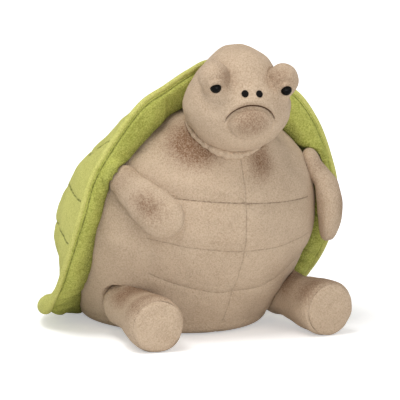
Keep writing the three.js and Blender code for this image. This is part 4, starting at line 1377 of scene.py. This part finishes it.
def finish_inner_nodes():
    fluff = inner_material("polyester filling", srgb(246, 244, 238), srgb(224, 220, 212), 6)
    cloth = inner_material("pouch cloth", srgb(232, 226, 212), srgb(206, 198, 182), 2)
    plastic = inner_material("washer plastic", srgb(238, 238, 234), srgb(222, 222, 216), 3)
    for name, obj in frame["nodes"].items():
        chosen = fluff if "stuffing" in name or "padding" in name else None
        chosen = cloth if name == "pellet_pouch" else plastic if "washer" in name else chosen
        if chosen:
            obj.data.materials.clear()
            obj.data.materials.append(chosen)


# Studio

def make_camera():
    data = bpy.data.cameras.new("camera")
    data.lens = CAMERA_LENS
    data.sensor_width = CAMERA_SENSOR
    data.clip_end = CAMERA_END
    camera = bpy.data.objects.new("camera", data)
    bpy.context.scene.collection.objects.link(camera)
    level = math.cos(CAMERA_ELEVATION)
    back = Vector((math.sin(CAMERA_AZIMUTH) * level, -math.cos(CAMERA_AZIMUTH) * level,
                   math.sin(CAMERA_ELEVATION)))
    camera.location = Vector(CAMERA_AIM) * MM + Vector((0, SHIFT, 0)) * MM + back * CAMERA_DISTANCE
    camera.rotation_euler = (-back).to_track_quat("-Z", "Y").to_euler()
    bpy.context.scene.camera = camera


def area_light(name, place, size, power):
    data = bpy.data.lights.new(name, "AREA")
    data.size = size
    data.energy = power
    light = bpy.data.objects.new(name, data)
    light.location = place
    light.rotation_euler = (Vector(LIGHT_AIM) - Vector(place)).to_track_quat("-Z", "Y").to_euler()
    bpy.context.scene.collection.objects.link(light)


def make_world():
    """Soft light all round, and white where the camera or a reflection sees past the floor."""
    world = bpy.data.worlds.new("studio")
    bpy.context.scene.world = world
    world.use_nodes = True
    tree = world.node_tree
    lit = tree.nodes["Background"]
    feed(tree, WHITE, lit.inputs["Color"])
    feed(tree, WORLD_STRENGTH, lit.inputs["Strength"])
    white = add(tree, "ShaderNodeBackground", Color=WHITE)
    path = tree.nodes.new("ShaderNodeLightPath").outputs
    seen = maths(tree, "MAXIMUM", path["Is Camera Ray"], path["Is Glossy Ray"])
    seen = maths(tree, "MAXIMUM", seen, path["Is Transmission Ray"])
    chosen = tree.nodes.new("ShaderNodeMixShader")
    for value, socket in zip((seen, lit.outputs[0], white.outputs[0]), chosen.inputs):
        feed(tree, value, socket)
    tree.links.new(chosen.outputs[0], tree.nodes["World Output"].inputs["Surface"])


def make_floor():
    """A plain pale floor that grows white with distance, and keeps the toy's shadow."""
    material, tree, shader = new_material("floor", FLOOR_FINISH)
    seen = tree.nodes.new("ShaderNodeLightPath").outputs["Is Camera Ray"]
    away = tree.nodes.new("ShaderNodeVectorMath")
    away.operation = "LENGTH"
    tree.links.new(position(tree), away.inputs[0])
    lift = remap(tree, away.outputs["Value"], *FLOOR_LIFT)
    tree.links.new(maths(tree, "MULTIPLY", seen, lift), shader.inputs["Emission Strength"])
    mesh = bpy.data.meshes.new("floor")
    corners = [(-1, -1), (1, -1), (1, 1), (-1, 1)]
    mesh.from_pydata([(x * FLOOR_REACH, y * FLOOR_REACH, 0) for x, y in corners], [], [(0, 1, 2, 3)])
    mesh.materials.append(material)
    floor = bpy.data.objects.new("floor", mesh)
    floor.location.z = -FLOOR_DROP
    bpy.context.scene.collection.objects.link(floor)


def make_studio():
    for name, settings in LIGHTS.items():
        area_light(name, *settings)
    make_world()
    make_floor()
    bpy.context.scene.view_settings.view_transform = "Standard"


make_camera()
make_body()
make_face(make_head())
make_collar()
for end in SIDES:
    make_arm(end)
    make_leg(end)
make_shell()
finish_inner_nodes()
make_studio()
